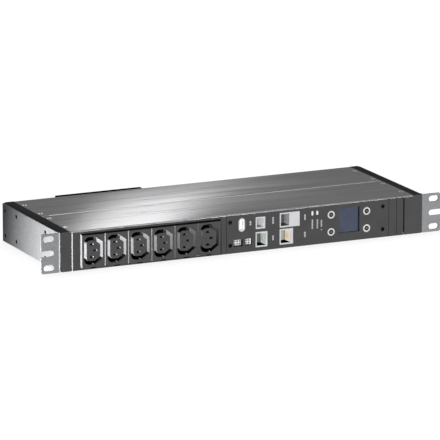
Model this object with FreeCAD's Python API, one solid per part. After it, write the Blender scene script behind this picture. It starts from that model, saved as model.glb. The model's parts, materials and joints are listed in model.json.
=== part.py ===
import FreeCAD, Part
import math
import os

# Rack power distribution unit, one rack unit high, in millimetres.
# X runs along the front to the right, Y runs back, Z runs up.
# The origin is the middle of the rack rail plane, which the rear faces of the ears touch.

V = FreeCAD.Vector

# Overall sizes
RACK_WIDTH = 482.6
BODY_WIDTH = 436.4
BODY_DEPTH = 159.0
BODY_HEIGHT = 44.0

# Clearances
FIT = 0.1
RUNNING = 0.25
SHADOW_GAP = 1.4

# Rack ears and side plates, folded from one sheet each
PLATE_T = 1.8
BODY_SETBACK = 0.3
PLATE_DROP = 0.6
BEND_R = 1.2
EAR_HEIGHT = 43.6
EAR_CORNER_R = 2.5
SLOT_SPACING_X = 465.0
SLOT_SPACING_Z = 31.75
SLOT_LENGTH = 12.0
SLOT_WIDTH = 6.8
SIDE_SCREW_DEPTHS = (39.0, 120.0, 152.0)
SIDE_SCREW_Z = 14.2
SIDE_HEAD_D = 4.8
SIDE_NECK_D = 2.6

# Extruded profiles
WALL_T = 1.5
LIP_CHAMFER = 1.0
JOINT_CHAMFER = 1.2
JOINT_GUSSET = 4.0
SIGHT_GROOVE_WIDTH = 1.0
SIGHT_GROOVE_DEPTH = 0.4
RIB_T = 1.5
RIB_HEIGHT = 2.0
GUIDE_DEPTH = 44.0
GUIDE_T = 1.2
GUIDE_HEIGHT = 2.5

# End caps
CAP_T = 11.0
CAP_WALL = 3.0
CAP_CHAMFER = 1.0
CAP_FRONT_LEFT = 12.6
CAP_FRONT_RIGHT = 21.9
CAP_FLANGE_T = 6.5
SPIGOT_LENGTH = 10.0
SPIGOT_START = 8.0
SPIGOT_WALL = 4.0

# Screw heads in the top of each profile, over the tongues of the end caps
TOP_SCREW_INSET = 4.2
TOP_SCREW_DEPTHS = (22.3, 67.2)
TOP_HEAD_D = 5.6
TOP_NECK_D = 2.8

# Front panels
PANEL_T = 2.5
HOOK_WIDTH = 4.0
HOOK_T = 1.1
BARB_T = 1.2
BARB_RISE = 0.9
PANEL_LINE = 0.4

# Outlets, six to the block, each turned so that its earth slot lies to the right
OUTLET_COUNT = 6
OUTLET_PITCH = 27.6
OUTLET_GAP = 0.9
OUTLET_HEIGHT = 36.5
OUTLET_Z = -1.75
OUTLET_DEPTH = 30.0
OUTLET_MARGIN = 7.3
OUTLET_SIDE_GAP = 3.6
OUTLET_TOP_GAP = 1.3
OUTLET_BOTTOM_GAP = 0.8
OUTLET_END_MARGIN = 6.0
OUTLET_RETURN_DEPTH = 6.0
OUTLET_RETURN_T = 1.5
OUTLET_TAB_T = 2.0
SOCKET_WIDTH = 22.0
SOCKET_HEIGHT = 31.0
SOCKET_CORE_WIDTH = 16.0
SOCKET_CORE_HEIGHT = 22.4
SOCKET_DEPTH = 17.0
SOCKET_ROUND_R = 6.5
CORE_ROUND_R = 4.0
SOCKET_CHAMFER_X = 9.4
SOCKET_CHAMFER_Z = 6.6
CORE_CHAMFER_X = 6.5
CORE_CHAMFER_Z = 4.6
PIN_SPACING = 14.0
PIN_LIVE_X = -2.0
PIN_EARTH_X = 2.1
PIN_SLOT_LENGTH = 4.5
PIN_SLOT_WIDTH = 2.2
PIN_SLOT_DEPTH = 9.0
POCKET_LENGTH = 6.0
POCKET_WIDTH = 3.4

# Busbars with a pair of contact blades for each outlet
BUSBAR_T = 1.5
BUSBAR_HEIGHT = 5.0
BLADE_T = 0.6
BLADE_WIDTH = 5.0
BLADE_LENGTH = 16.0

# Control panel, its screws and the board behind it
CONTROL_WIDTH = 198.0
BOARD_SETBACK = 17.0
BOARD_T = 1.6
BOARD_MARGIN = 1.5
BOARD_HEIGHT = 34.0
PANEL_SCREW_INSET_LEFT = 4.2
PANEL_SCREW_INSET_RIGHT = 7.3
PANEL_SCREW_Z = 13.0
PANEL_HEAD_D = 4.4
PANEL_HEAD_H = 1.6
PANEL_HEAD_SINK = 0.9
PANEL_SHANK_D = 2.5
PANEL_BOSS_SIZE = 6.0
CONTROL_HOOKS = (54.2, 120.2, 178.5)

# Places on the control panel are measured from its left edge
DISPLAY_LEFT = 136.8
DISPLAY_WIDTH = 25.0
DISPLAY_HEIGHT = 28.1
DISPLAY_Z = 1.75
DISPLAY_RECESS = 2.5
DISPLAY_COLLAR_T = 1.4
DISPLAY_GLASS_T = 1.2
DISPLAY_MODULE_T = 4.0
DISPLAY_LEG_SIZE = 3.0
DISPLAY_LEG_INSET = 3.0

BUTTON_X = (127.1, 170.8)
BUTTON_Z = (9.65, -9.85)
BUTTON_CAP_D = 4.8
BUTTON_RING_D = 8.8
BUTTON_RING_T = 1.3
BUTTON_FLANGE_D = 7.4
BUTTON_FLANGE_T = 1.0
BUTTON_STEM_SIZE = 2.6
BUTTON_TRAVEL = 0.5
SWITCH_SIZE = 6.0
SWITCH_HEIGHT = 4.0
SWITCH_PLUNGER_SIZE = 3.4
SWITCH_PLUNGER_H = 1.0

# A jack is given as left edge, width, middle height, height and the width of its right wall
PORT_SETBACK = 0.3
JACK_WALL_MIN = 1.0
JACK_FRAME = 1.6
JACK_LEFT_WALL = 1.4
PLUG_DEPTH = 14.0
SENSOR_JACK = (35.1, 11.7, 9.2, 13.3, 2.0)
BUS_JACK = (35.0, 14.5, -9.5, 17.1, 2.0)
NETWORK_JACK = (64.3, 24.3, 9.45, 16.5, 12.6)
LINK_JACK = (64.2, 16.4, -9.3, 17.6, 3.2)

USB_LEFT = 14.5
USB_WIDTH = 7.7
USB_HEIGHT = 15.3
USB_Z = 9.0
USB_OPENING_WIDTH = 4.8
USB_OPENING_HEIGHT = 12.0
USB_OPENING_DEPTH = 9.0
USB_TONGUE_T = 1.6
USB_TONGUE_SHIFT = 1.3

TERMINAL_Z = -11.0
TERMINAL_CELL = 3.0
TERMINAL_HEIGHT = 6.0
TERMINAL_SETBACK = 3.0
TERMINAL_WINDOW_MARGIN = 0.8
TERMINAL_HOLE_SIZE = 1.6
TERMINAL_HOLE_DEPTH = 4.0
TERMINALS = (("terminal_block_wide", 9.4, 3), ("terminal_block_narrow", 23.3, 2))

LIGHT_X = (104.0, 110.0)
LIGHT_Z = 13.6
LIGHT_WIDTH = 2.2
LIGHT_HEIGHT = 5.0

# Filler strips between the control panel and the right end cap
FILLER_WIDTH = 9.2

# Rear panel, inlet housing and inlet
INLET_HOUSING_X = -102.5
INLET_HOUSING_WIDTH = 103.0
INLET_HOUSING_DEPTH = 8.0
INLET_HOUSING_DROP = 0.1
INLET_HOUSING_RISE = 2.0
INLET_HOUSING_WALL = 2.5
INLET_HOUSING_CORNER = 1.0
INLET_SPIGOT_INSET = 3.5
INLET_SPIGOT_LENGTH = 2.0
INLET_Z = 0.0
INLET_WIDTH = 26.0
INLET_HEIGHT = 33.0
INLET_DEPTH = 30.0
INLET_SINK = 0.5
INLET_CAVITY_WIDTH = 20.4
INLET_CAVITY_HEIGHT = 30.2
INLET_CAVITY_DEPTH = 19.0
INLET_CAVITY_R = 4.0
INLET_CAVITY_CHAMFER = 5.0
INLET_PIN_SPACING = 13.0
INLET_PIN_LIVE_X = -3.0
INLET_PIN_EARTH_X = 4.0
INLET_PIN_T = 2.0
INLET_PIN_WIDTH = 8.0
INLET_PIN_LENGTH = 14.0

# Leads inside, the grommet they pass through and the metering board
LEAD_D = 4.0
GROMMET_MARGIN = 1.0
GROMMET_T = 1.5
GROMMET_LIP = 1.5
GROMMET_LIP_T = 1.0
METER_BOARD_WIDTH = 95.0
SENSOR_SIZE = 9.6
SENSOR_T = 7.0
SENSOR_BORE = 6.0

# Places that follow from the sizes above
EAR_FRONT = -PLATE_T
FRONT = EAR_FRONT + BODY_SETBACK
BACK = FRONT + BODY_DEPTH
JOINT_DEPTH = BODY_DEPTH / 2
TOP = BODY_HEIGHT / 2
BOTTOM = -TOP
CEILING = TOP - WALL_T
FLOOR = BOTTOM + WALL_T
CAP_X = BODY_WIDTH / 2
PROFILE_X = CAP_X - CAP_T
RIB_FRONT = PANEL_T + FIT
RIB_BACK = RIB_FRONT + RIB_T
PANEL_TOP = CEILING - FIT
OUTLET_PANEL_LEFT = -CAP_X + CAP_FRONT_LEFT + SHADOW_GAP
WINDOW_LEFT = OUTLET_PANEL_LEFT + OUTLET_MARGIN
OUTLET_LEFT = WINDOW_LEFT + OUTLET_SIDE_GAP
OUTLET_BLOCK = OUTLET_COUNT * OUTLET_PITCH - OUTLET_GAP
OUTLET_WIDTH = OUTLET_PITCH - OUTLET_GAP
OUTLET_CENTRES = [OUTLET_LEFT + OUTLET_WIDTH / 2 + i * OUTLET_PITCH for i in range(OUTLET_COUNT)]
OUTLET_TOP = OUTLET_Z + OUTLET_HEIGHT / 2
OUTLET_BOTTOM = OUTLET_Z - OUTLET_HEIGHT / 2
WINDOW_RIGHT = OUTLET_LEFT + OUTLET_BLOCK + OUTLET_GAP
OUTLET_PANEL_RIGHT = WINDOW_RIGHT + OUTLET_END_MARGIN
CONTROL_LEFT = OUTLET_PANEL_RIGHT + PANEL_LINE
CONTROL_RIGHT = CONTROL_LEFT + CONTROL_WIDTH
FILLERS_LEFT = CONTROL_RIGHT + PANEL_LINE
FILLERS_RIGHT = CAP_X - CAP_FRONT_RIGHT - SHADOW_GAP
BOARD_FRONT = FRONT + BOARD_SETBACK
BUSBAR_FRONT = FRONT + OUTLET_DEPTH + FIT
INLET_FACE = BACK + INLET_HOUSING_DEPTH - INLET_SINK
INLET_REAR = INLET_FACE - INLET_DEPTH
METER_BOARD_Y = BACK - GUIDE_DEPTH


def box(x0, x1, y0, y1, z0, z1):
    """Block between two opposite corners."""
    return Part.makeBox(x1 - x0, y1 - y0, z1 - z0, V(x0, y0, z0))


def rod(x, y, z, diameter, length, direction):
    """Round bar that starts at a point and runs along a direction."""
    return Part.makeCylinder(diameter / 2, length, V(x, y, z), direction)


def post(x, y, z, size, length):
    """Square bar that starts at a point and runs back along Y."""
    return box(x - size / 2, x + size / 2, y, y + length, z - size / 2, z + size / 2)


def bar_along_x(outline, x0, x1):
    """Extrusion along X of a closed outline of (y, z) points."""
    points = [V(x0, y, z) for y, z in outline]
    return Part.Face(Part.makePolygon(points + points[:1])).extrude(V(x1 - x0, 0, 0))


def rounded_block(x0, x1, y0, y1, z0, z1, radius):
    """Block whose four edges along Y are rounded."""
    block = box(x0, x1, y0, y1, z0, z1)
    return block.makeFillet(radius, edges_along(block, V(0, 1, 0)))


def edges_along(shape, direction):
    """Straight edges of a shape that run along a direction."""
    found = []
    for edge in shape.Edges:
        first, last = edge.Vertexes[0].Point, edge.Vertexes[-1].Point
        run = last.sub(first)
        if run.Length > 0 and abs(run.normalize().dot(direction)) > 0.999:
            found.append(edge)
    return found


def obround(x, z, width, height, y0, y1):
    """Upright slot form: a block with half-round top and bottom, along Y."""
    straight = height - width
    middle = box(x - width / 2, x + width / 2, y0, y1, z - straight / 2, z + straight / 2)
    ends = [rod(x, y0, z + side * straight / 2, width, y1 - y0, V(0, 1, 0)) for side in (-1, 1)]
    return middle.fuse(ends).removeSplitter()


def keyed_outline(x, z, width, height, radius, chamfer_x, chamfer_z, y0, y1):
    """Connector outline: round corners on the left, chamfered ones on the right."""
    left, right = x - width / 2, x + width / 2
    low, high = z - height / 2, z + height / 2
    slant = radius * (1 - math.sqrt(0.5))
    edges = [
        Part.makeLine(V(left, y0, low + radius), V(left, y0, high - radius)),
        Part.Arc(V(left, y0, high - radius), V(left + slant, y0, high - slant),
                 V(left + radius, y0, high)).toShape(),
        Part.makeLine(V(left + radius, y0, high), V(right - chamfer_x, y0, high)),
        Part.makeLine(V(right - chamfer_x, y0, high), V(right, y0, high - chamfer_z)),
        Part.makeLine(V(right, y0, high - chamfer_z), V(right, y0, low + chamfer_z)),
        Part.makeLine(V(right, y0, low + chamfer_z), V(right - chamfer_x, y0, low)),
        Part.makeLine(V(right - chamfer_x, y0, low), V(left + radius, y0, low)),
        Part.Arc(V(left + radius, y0, low), V(left + slant, y0, low + slant),
                 V(left, y0, low + radius)).toShape(),
    ]
    return Part.Face(Part.Wire(edges)).extrude(V(0, y1 - y0, 0))


def countersunk(x, y, z, head_d, neck_d, depth, direction):
    """Countersunk screw head with its flat face at a point, narrowing along a direction."""
    return Part.makeCone(head_d / 2, neck_d / 2, depth, V(x, y, z), direction)


def side_screw_places():
    """Points on the side plate where the bracket screws enter, as (y, z)."""
    return [(FRONT + depth, z) for depth in SIDE_SCREW_DEPTHS for z in (-SIDE_SCREW_Z, SIDE_SCREW_Z)]


def top_screw_places():
    """Points on the top where the cap screws enter, as (x, y)."""
    depths = [FRONT + d for d in TOP_SCREW_DEPTHS] + [BACK - d for d in TOP_SCREW_DEPTHS]
    return [(side * (PROFILE_X - TOP_SCREW_INSET), y) for side in (-1, 1) for y in depths]


def profile(face_y, inward):
    """Channel extrusion: open at face_y, with its web at the joint between the two profiles."""
    web = JOINT_DEPTH - WALL_T
    guide_gap = BOARD_T / 2 + RUNNING
    sight = JOINT_DEPTH / 2
    half_groove = SIGHT_GROOVE_WIDTH / 2
    ribs = [
        (RIB_FRONT, RIB_BACK, RIB_HEIGHT),
        (GUIDE_DEPTH - guide_gap - GUIDE_T, GUIDE_DEPTH - guide_gap, GUIDE_HEIGHT),
        (GUIDE_DEPTH + guide_gap, GUIDE_DEPTH + guide_gap + GUIDE_T, GUIDE_HEIGHT),
    ]
    outline = [
        (0, CEILING), (0, TOP - LIP_CHAMFER), (LIP_CHAMFER, TOP),
        (sight - half_groove, TOP), (sight, TOP - SIGHT_GROOVE_DEPTH), (sight + half_groove, TOP),
        (JOINT_DEPTH - JOINT_CHAMFER, TOP), (JOINT_DEPTH, TOP - JOINT_CHAMFER),
        (JOINT_DEPTH, BOTTOM), (RIB_FRONT, BOTTOM),
    ]
    for start, end, height in ribs:
        outline += [(start, FLOOR + height), (end, FLOOR + height), (end, FLOOR)]
        if start != RIB_FRONT:
            outline.insert(-3, (start, FLOOR))
    outline += [(web, FLOOR), (web, CEILING - JOINT_GUSSET), (web - JOINT_GUSSET, CEILING)]
    for start, end, height in reversed(ribs):
        outline += [(end, CEILING), (end, CEILING - height), (start, CEILING - height), (start, CEILING)]
    placed = [(face_y + inward * depth, z) for depth, z in outline]
    body = bar_along_x(placed, -PROFILE_X, PROFILE_X)
    holes = [countersunk(x, y, TOP, TOP_HEAD_D + 2 * FIT, TOP_NECK_D + 2 * FIT, WALL_T, V(0, 0, -1))
             for x, y in top_screw_places()]
    slot = obround(INLET_HOUSING_X, OUTLET_Z, grommet_width(), grommet_height(), FRONT, BACK)
    return body.cut(holes + [slot])


def grommet_width():
    """Width of the slot through both webs for the leads."""
    return PIN_EARTH_X - PIN_LIVE_X + LEAD_D + 2 * GROMMET_MARGIN + 2 * GROMMET_T


def grommet_height():
    """Height of the slot through both webs for the leads."""
    return PIN_SPACING + LEAD_D + 2 * GROMMET_MARGIN + 2 * GROMMET_T + grommet_width() / 2


def spigot(face_y, inward, side):
    """Hollow tongue of an end cap that fills the end of one profile channel."""
    start = face_y + inward * SPIGOT_START
    end = face_y + inward * (JOINT_DEPTH - WALL_T - JOINT_GUSSET - FIT)
    y0, y1 = min(start, end), max(start, end)
    x0, x1 = sorted((side * PROFILE_X, side * (PROFILE_X - SPIGOT_LENGTH)))
    body = box(x0, x1, y0, y1, FLOOR + FIT, CEILING - FIT)
    hollow = box(x0, x1, y0 + SPIGOT_WALL, y1 - SPIGOT_WALL, FLOOR + SPIGOT_WALL, CEILING - SPIGOT_WALL)
    guide = GUIDE_T + BOARD_T / 2 + 2 * RUNNING
    guide_y = face_y + inward * GUIDE_DEPTH
    notch_z = GUIDE_HEIGHT + RUNNING
    notches = [
        box(x0, x1, guide_y - guide, guide_y + guide, FLOOR, FLOOR + notch_z),
        box(x0, x1, guide_y - guide, guide_y + guide, CEILING - notch_z, CEILING),
    ]
    return body.cut([hollow] + notches)


def end_cap(side, front_width):
    """Moulded end cap: a chamfered cheek, two hollow tongues and a front flange beside the panels."""
    x0, x1 = sorted((side * PROFILE_X, side * CAP_X))
    cheek = box(x0, x1, FRONT, BACK, BOTTOM, TOP)
    rim = [e for e in edges_along(cheek, V(0, 1, 0)) if abs(e.Vertexes[0].X) > PROFILE_X + FIT]
    cheek = cheek.makeChamfer(CAP_CHAMFER, rim)
    pockets = []
    for y0, y1 in ((FRONT, FRONT + JOINT_DEPTH), (FRONT + JOINT_DEPTH, BACK)):
        p0, p1 = sorted((side * PROFILE_X, side * (CAP_X - CAP_WALL)))
        edge = SPIGOT_START + SPIGOT_WALL
        pockets.append(box(p0, p1, y0 + edge, y1 - edge, FLOOR + SPIGOT_WALL, CEILING - SPIGOT_WALL))
    flange_x = side * (CAP_X - front_width)
    f0, f1 = sorted((side * PROFILE_X, flange_x))
    flange = box(f0, f1, FRONT, FRONT + PANEL_T, BOTTOM, PANEL_TOP)
    flange_web = box(f0, f1, FRONT, FRONT + CAP_FLANGE_T,
                     FLOOR + RIB_HEIGHT + FIT, CEILING - RIB_HEIGHT - FIT)
    tongues = [spigot(FRONT, 1, side), spigot(BACK, -1, side)]
    return cheek.cut(pockets).fuse([flange, flange_web] + tongues).removeSplitter()


def bracket(side):
    """Sheet steel bracket: a side plate folded outwards into a rack ear with three slots."""
    inner, outer = CAP_X, CAP_X + PLATE_T
    bend_x, bend_y = CAP_X + PLATE_T + BEND_R, BEND_R
    big, small = BEND_R + PLATE_T, BEND_R
    diagonal = math.sqrt(0.5)
    ear_x = RACK_WIDTH / 2

    def at(x, y):
        return V(side * x, y, -EAR_HEIGHT / 2)

    edges = [
        Part.makeLine(at(ear_x, EAR_FRONT), at(bend_x, EAR_FRONT)),
        Part.Arc(at(bend_x, EAR_FRONT), at(bend_x - big * diagonal, bend_y - big * diagonal),
                 at(inner, bend_y)).toShape(),
        Part.makeLine(at(inner, bend_y), at(inner, BACK)),
        Part.makeLine(at(inner, BACK), at(outer, BACK)),
        Part.makeLine(at(outer, BACK), at(outer, bend_y)),
        Part.Arc(at(outer, bend_y), at(bend_x - small * diagonal, bend_y - small * diagonal),
                 at(bend_x, 0)).toShape(),
        Part.makeLine(at(bend_x, 0), at(ear_x, 0)),
        Part.makeLine(at(ear_x, 0), at(ear_x, EAR_FRONT)),
    ]
    sheet = Part.Face(Part.Wire(edges)).extrude(V(0, 0, EAR_HEIGHT))
    corners = [e for e in edges_along(sheet, V(0, 1, 0)) if abs(e.Vertexes[0].X) > ear_x - FIT]
    sheet = sheet.makeFillet(EAR_CORNER_R, corners)
    cuts = []
    for z in (-SLOT_SPACING_Z / 2, SLOT_SPACING_Z / 2):
        cuts.append(ear_slot(side, z, SLOT_SPACING_X / 2 + SLOT_LENGTH / 2))
    cuts.append(ear_slot(side, 0, ear_x + SLOT_WIDTH))
    p0, p1 = sorted((side * inner, side * outer))
    trim_y = bend_y + big
    for z0, z1 in ((-EAR_HEIGHT, PLATE_DROP - EAR_HEIGHT / 2), (EAR_HEIGHT / 2 - PLATE_DROP, EAR_HEIGHT)):
        cuts.append(box(p0, p1, trim_y, BACK, z0, z1))
    for y, z in side_screw_places():
        cuts.append(countersunk(side * outer, y, z, SIDE_HEAD_D + 2 * FIT, SIDE_NECK_D + 2 * FIT,
                                PLATE_T, V(-side, 0, 0)))
    return sheet.cut(cuts)


def ear_slot(side, z, outer_end):
    """Level slot through an ear, from its round inner end out to a given place."""
    radius = SLOT_WIDTH / 2
    inner_end = SLOT_SPACING_X / 2 - SLOT_LENGTH / 2
    x0, x1 = sorted((side * (inner_end + radius), side * (outer_end - radius)))
    ends = [rod(x, EAR_FRONT, z, SLOT_WIDTH, PLATE_T, V(0, 1, 0)) for x in (x0, x1)]
    return box(x0, x1, EAR_FRONT, 0, z - radius, z + radius).fuse(ends).removeSplitter()


def panel_plate(x0, x1, hook_places):
    """Front plate with snap hooks that catch behind the ribs of the profile."""
    plate = box(x0, x1, FRONT, FRONT + PANEL_T, BOTTOM, PANEL_TOP)
    barb_front = RIB_BACK + FIT
    reach = barb_front + BARB_T
    hooks = []
    for x in hook_places:
        for edge, way in ((CEILING - RIB_HEIGHT - FIT, -1), (FLOOR + RIB_HEIGHT + FIT, 1)):
            outline = [
                (PANEL_T - FIT, edge), (barb_front, edge), (barb_front, edge - way * BARB_RISE),
                (reach, edge), (reach, edge + way * HOOK_T), (PANEL_T - FIT, edge + way * HOOK_T),
            ]
            placed = [(FRONT + depth, z) for depth, z in outline]
            hooks.append(bar_along_x(placed, x - HOOK_WIDTH / 2, x + HOOK_WIDTH / 2))
    return plate.fuse(hooks)


def outlet_panel():
    """Front plate with one window for the whole row of outlets."""
    hooks = (OUTLET_PANEL_LEFT + OUTLET_MARGIN / 2, OUTLET_PANEL_RIGHT - OUTLET_END_MARGIN / 2)
    plate = panel_plate(OUTLET_PANEL_LEFT, OUTLET_PANEL_RIGHT, hooks)
    window = box(WINDOW_LEFT, WINDOW_RIGHT, FRONT, FRONT + PANEL_T,
                 OUTLET_BOTTOM - OUTLET_BOTTOM_GAP, OUTLET_TOP + OUTLET_TOP_GAP)
    end_wall = box(OUTLET_PANEL_LEFT, OUTLET_PANEL_LEFT + OUTLET_RETURN_T,
                   FRONT, FRONT + OUTLET_RETURN_DEPTH,
                   FLOOR + RIB_HEIGHT + FIT, CEILING - RIB_HEIGHT - FIT)
    return plate.cut(window).fuse(end_wall).removeSplitter()


def pin_places(x):
    """Middle of the three pins of an outlet as (x, z): line, neutral and earth."""
    return (
        (x + PIN_LIVE_X, OUTLET_Z + PIN_SPACING / 2),
        (x + PIN_LIVE_X, OUTLET_Z - PIN_SPACING / 2),
        (x + PIN_EARTH_X, OUTLET_Z),
    )


def outlet(x):
    """Outlet module: a housing with a keyed well, and a core with three slots on the floor of the well."""
    left, right = x - OUTLET_WIDTH / 2, x + OUTLET_WIDTH / 2
    behind = FRONT + PANEL_T + FIT
    well_floor = FRONT + SOCKET_DEPTH
    face = box(left, right, FRONT, behind, OUTLET_BOTTOM, OUTLET_TOP)
    body_top = OUTLET_Z + SOCKET_HEIGHT / 2 + JACK_WALL_MIN
    body = box(left, right, behind, FRONT + OUTLET_DEPTH, FLOOR + RIB_HEIGHT + FIT, body_top)
    tab = box(left, right, behind, behind + OUTLET_TAB_T, OUTLET_Z, CEILING - RIB_HEIGHT - FIT)
    well = keyed_outline(x, OUTLET_Z, SOCKET_WIDTH, SOCKET_HEIGHT, SOCKET_ROUND_R,
                         SOCKET_CHAMFER_X, SOCKET_CHAMFER_Z, FRONT, well_floor)
    core = keyed_outline(x, OUTLET_Z, SOCKET_CORE_WIDTH, SOCKET_CORE_HEIGHT, CORE_ROUND_R,
                         CORE_CHAMFER_X, CORE_CHAMFER_Z, FRONT, well_floor)
    slots = []
    for pin_x, pin_z in pin_places(x):
        slots.append(box(pin_x - PIN_SLOT_LENGTH / 2, pin_x + PIN_SLOT_LENGTH / 2,
                         FRONT, FRONT + PIN_SLOT_DEPTH,
                         pin_z - PIN_SLOT_WIDTH / 2, pin_z + PIN_SLOT_WIDTH / 2))
        slots.append(box(pin_x - POCKET_LENGTH / 2, pin_x + POCKET_LENGTH / 2,
                         FRONT + PIN_SLOT_DEPTH, FRONT + OUTLET_DEPTH,
                         pin_z - POCKET_WIDTH / 2, pin_z + POCKET_WIDTH / 2))
    housing = face.fuse([body, tab]).cut(well).cut(slots).removeSplitter()
    return Part.makeCompound([housing, core.cut(slots).removeSplitter()])


def busbar(pin_index):
    """Brass strip behind the outlets with a pair of contact blades in the pocket of each one."""
    places = [pin_places(x)[pin_index] for x in OUTLET_CENTRES]
    z = places[0][1]
    strip = box(places[0][0] - BUSBAR_HEIGHT, places[-1][0] + BUSBAR_HEIGHT,
                BUSBAR_FRONT, BUSBAR_FRONT + BUSBAR_T,
                z - BUSBAR_HEIGHT / 2, z + BUSBAR_HEIGHT / 2)
    blades = []
    for x, _ in places:
        for way in (-1, 1):
            far = z + way * (POCKET_WIDTH / 2 - FIT)
            z0, z1 = sorted((far, far - way * BLADE_T))
            blades.append(box(x - BLADE_WIDTH / 2, x + BLADE_WIDTH / 2,
                              BUSBAR_FRONT - BLADE_LENGTH, BUSBAR_FRONT, z0, z1))
    return strip.fuse(blades).removeSplitter()


def panel_screw_places():
    """Middle of the four control panel screws as (x, z)."""
    columns = (CONTROL_LEFT + PANEL_SCREW_INSET_LEFT, CONTROL_RIGHT - PANEL_SCREW_INSET_RIGHT)
    return [(x, z) for x in columns for z in (-PANEL_SCREW_Z, PANEL_SCREW_Z)]


def button_places():
    """Middle of the four buttons as (x, z), top left first."""
    return [(CONTROL_LEFT + x, z) for x in BUTTON_X for z in BUTTON_Z]


def jack_box(place, grow, y0, y1):
    """Block over a jack's front, grown by a clearance."""
    left, width, z, height, _ = place
    x = CONTROL_LEFT + left
    return box(x - grow, x + width + grow, y0, y1, z - height / 2 - grow, z + height / 2 + grow)


def display_block(margin, y0, y1):
    """Block over the display opening, grown by a margin."""
    x = CONTROL_LEFT + DISPLAY_LEFT
    return box(x - margin, x + DISPLAY_WIDTH + margin, y0, y1,
               DISPLAY_Z - DISPLAY_HEIGHT / 2 - margin, DISPLAY_Z + DISPLAY_HEIGHT / 2 + margin)


def terminal_block(left, columns):
    """Two-row plug-in terminal strip with a square wire entry in each cell."""
    x0 = CONTROL_LEFT + left
    y0 = FRONT + TERMINAL_SETBACK
    body = box(x0, x0 + columns * TERMINAL_CELL, y0, BOARD_FRONT,
               TERMINAL_Z - TERMINAL_HEIGHT / 2, TERMINAL_Z + TERMINAL_HEIGHT / 2)
    entries = []
    half = TERMINAL_HOLE_SIZE / 2
    for column in range(columns):
        x = x0 + (column + 0.5) * TERMINAL_CELL
        for z in (TERMINAL_Z - TERMINAL_HEIGHT / 4, TERMINAL_Z + TERMINAL_HEIGHT / 4):
            entries.append(box(x - half, x + half, y0, y0 + TERMINAL_HOLE_DEPTH, z - half, z + half))
    return body.cut(entries)


def light_form(x, grow, y0, y1):
    """Rounded upright bar of a status light, grown by a clearance."""
    width = LIGHT_WIDTH + 2 * grow
    return obround(CONTROL_LEFT + x, LIGHT_Z, width, LIGHT_HEIGHT + 2 * grow, y0, y1)


def control_panel():
    """Front plate with screw bosses, a display collar and openings for every port and button."""
    hooks = [CONTROL_LEFT + x for x in CONTROL_HOOKS]
    plate = panel_plate(CONTROL_LEFT, CONTROL_RIGHT, hooks)
    rear = FRONT + PANEL_T
    added = [display_block(DISPLAY_COLLAR_T, FRONT, FRONT + DISPLAY_RECESS)]
    cuts = [display_block(0, FRONT, BOARD_FRONT)]
    for x, z in panel_screw_places():
        added.append(post(x, rear, z, PANEL_BOSS_SIZE, BOARD_FRONT - rear))
        cuts.append(rod(x, FRONT, z, PANEL_SHANK_D + 2 * FIT, BOARD_SETBACK, V(0, 1, 0)))
        cuts.append(rod(x, FRONT, z, PANEL_HEAD_D + 2 * FIT, PANEL_HEAD_SINK + PANEL_HEAD_H, V(0, 1, 0)))
    for x, z in button_places():
        cuts.append(rod(x, FRONT, z, BUTTON_RING_D + 2 * FIT, BUTTON_RING_T, V(0, 1, 0)))
        cuts.append(rod(x, FRONT, z, BUTTON_CAP_D + 2 * RUNNING, PANEL_T, V(0, 1, 0)))
    for place in (SENSOR_JACK, BUS_JACK, NETWORK_JACK, LINK_JACK):
        cuts.append(jack_box(place, FIT, FRONT, BOARD_FRONT))
    cuts.append(obround(CONTROL_LEFT + USB_LEFT + USB_WIDTH / 2, USB_Z,
                        USB_WIDTH + 2 * FIT, USB_HEIGHT + 2 * FIT, FRONT, rear))
    for _, left, columns in TERMINALS:
        margin = TERMINAL_WINDOW_MARGIN
        x = CONTROL_LEFT + left
        cuts.append(box(x - margin, x + columns * TERMINAL_CELL + margin, FRONT, rear,
                        TERMINAL_Z - TERMINAL_HEIGHT / 2 - margin,
                        TERMINAL_Z + TERMINAL_HEIGHT / 2 + margin))
    cuts += [light_form(x, FIT, FRONT, rear) for x in LIGHT_X]
    return plate.fuse(added).cut(cuts).removeSplitter()


def control_board():
    """Circuit board that the control panel's bosses hold by the four panel screws."""
    board = box(CONTROL_LEFT + BOARD_MARGIN, CONTROL_RIGHT - BOARD_MARGIN,
                BOARD_FRONT, BOARD_FRONT + BOARD_T, -BOARD_HEIGHT / 2, BOARD_HEIGHT / 2)
    return board.cut([rod(x, BOARD_FRONT, z, PANEL_SHANK_D + 2 * FIT, BOARD_T, V(0, 1, 0))
                      for x, z in panel_screw_places()])


def panel_screws():
    """Four sunk cylinder-head screws from the panel's face through the board."""
    screws = []
    for x, z in panel_screw_places():
        head_y = FRONT + PANEL_HEAD_SINK
        head = rod(x, head_y, z, PANEL_HEAD_D, PANEL_HEAD_H, V(0, 1, 0))
        shank_length = BOARD_FRONT + BOARD_T + PANEL_HEAD_H - head_y
        shank = rod(x, head_y, z, PANEL_SHANK_D, shank_length, V(0, 1, 0))
        screws.append(head.fuse(shank).removeSplitter())
    return Part.makeCompound(screws)


def jack(place):
    """Modular jack turned on its side: a front frame, and a body with a deep plug cavity."""
    left, width, z, height, right_wall = place
    x0 = CONTROL_LEFT + left
    face = FRONT + PORT_SETBACK
    half = height / 2 - JACK_FRAME
    frame = jack_box(place, 0, face, FRONT + PANEL_T)
    body = box(x0, x0 + width, face, BOARD_FRONT, z - half - JACK_WALL_MIN, z + half + JACK_WALL_MIN)
    plug = box(x0 + JACK_LEFT_WALL, x0 + width - right_wall, face, face + PLUG_DEPTH, z - half, z + half)
    return frame.fuse(body).cut(plug).removeSplitter()


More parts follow.
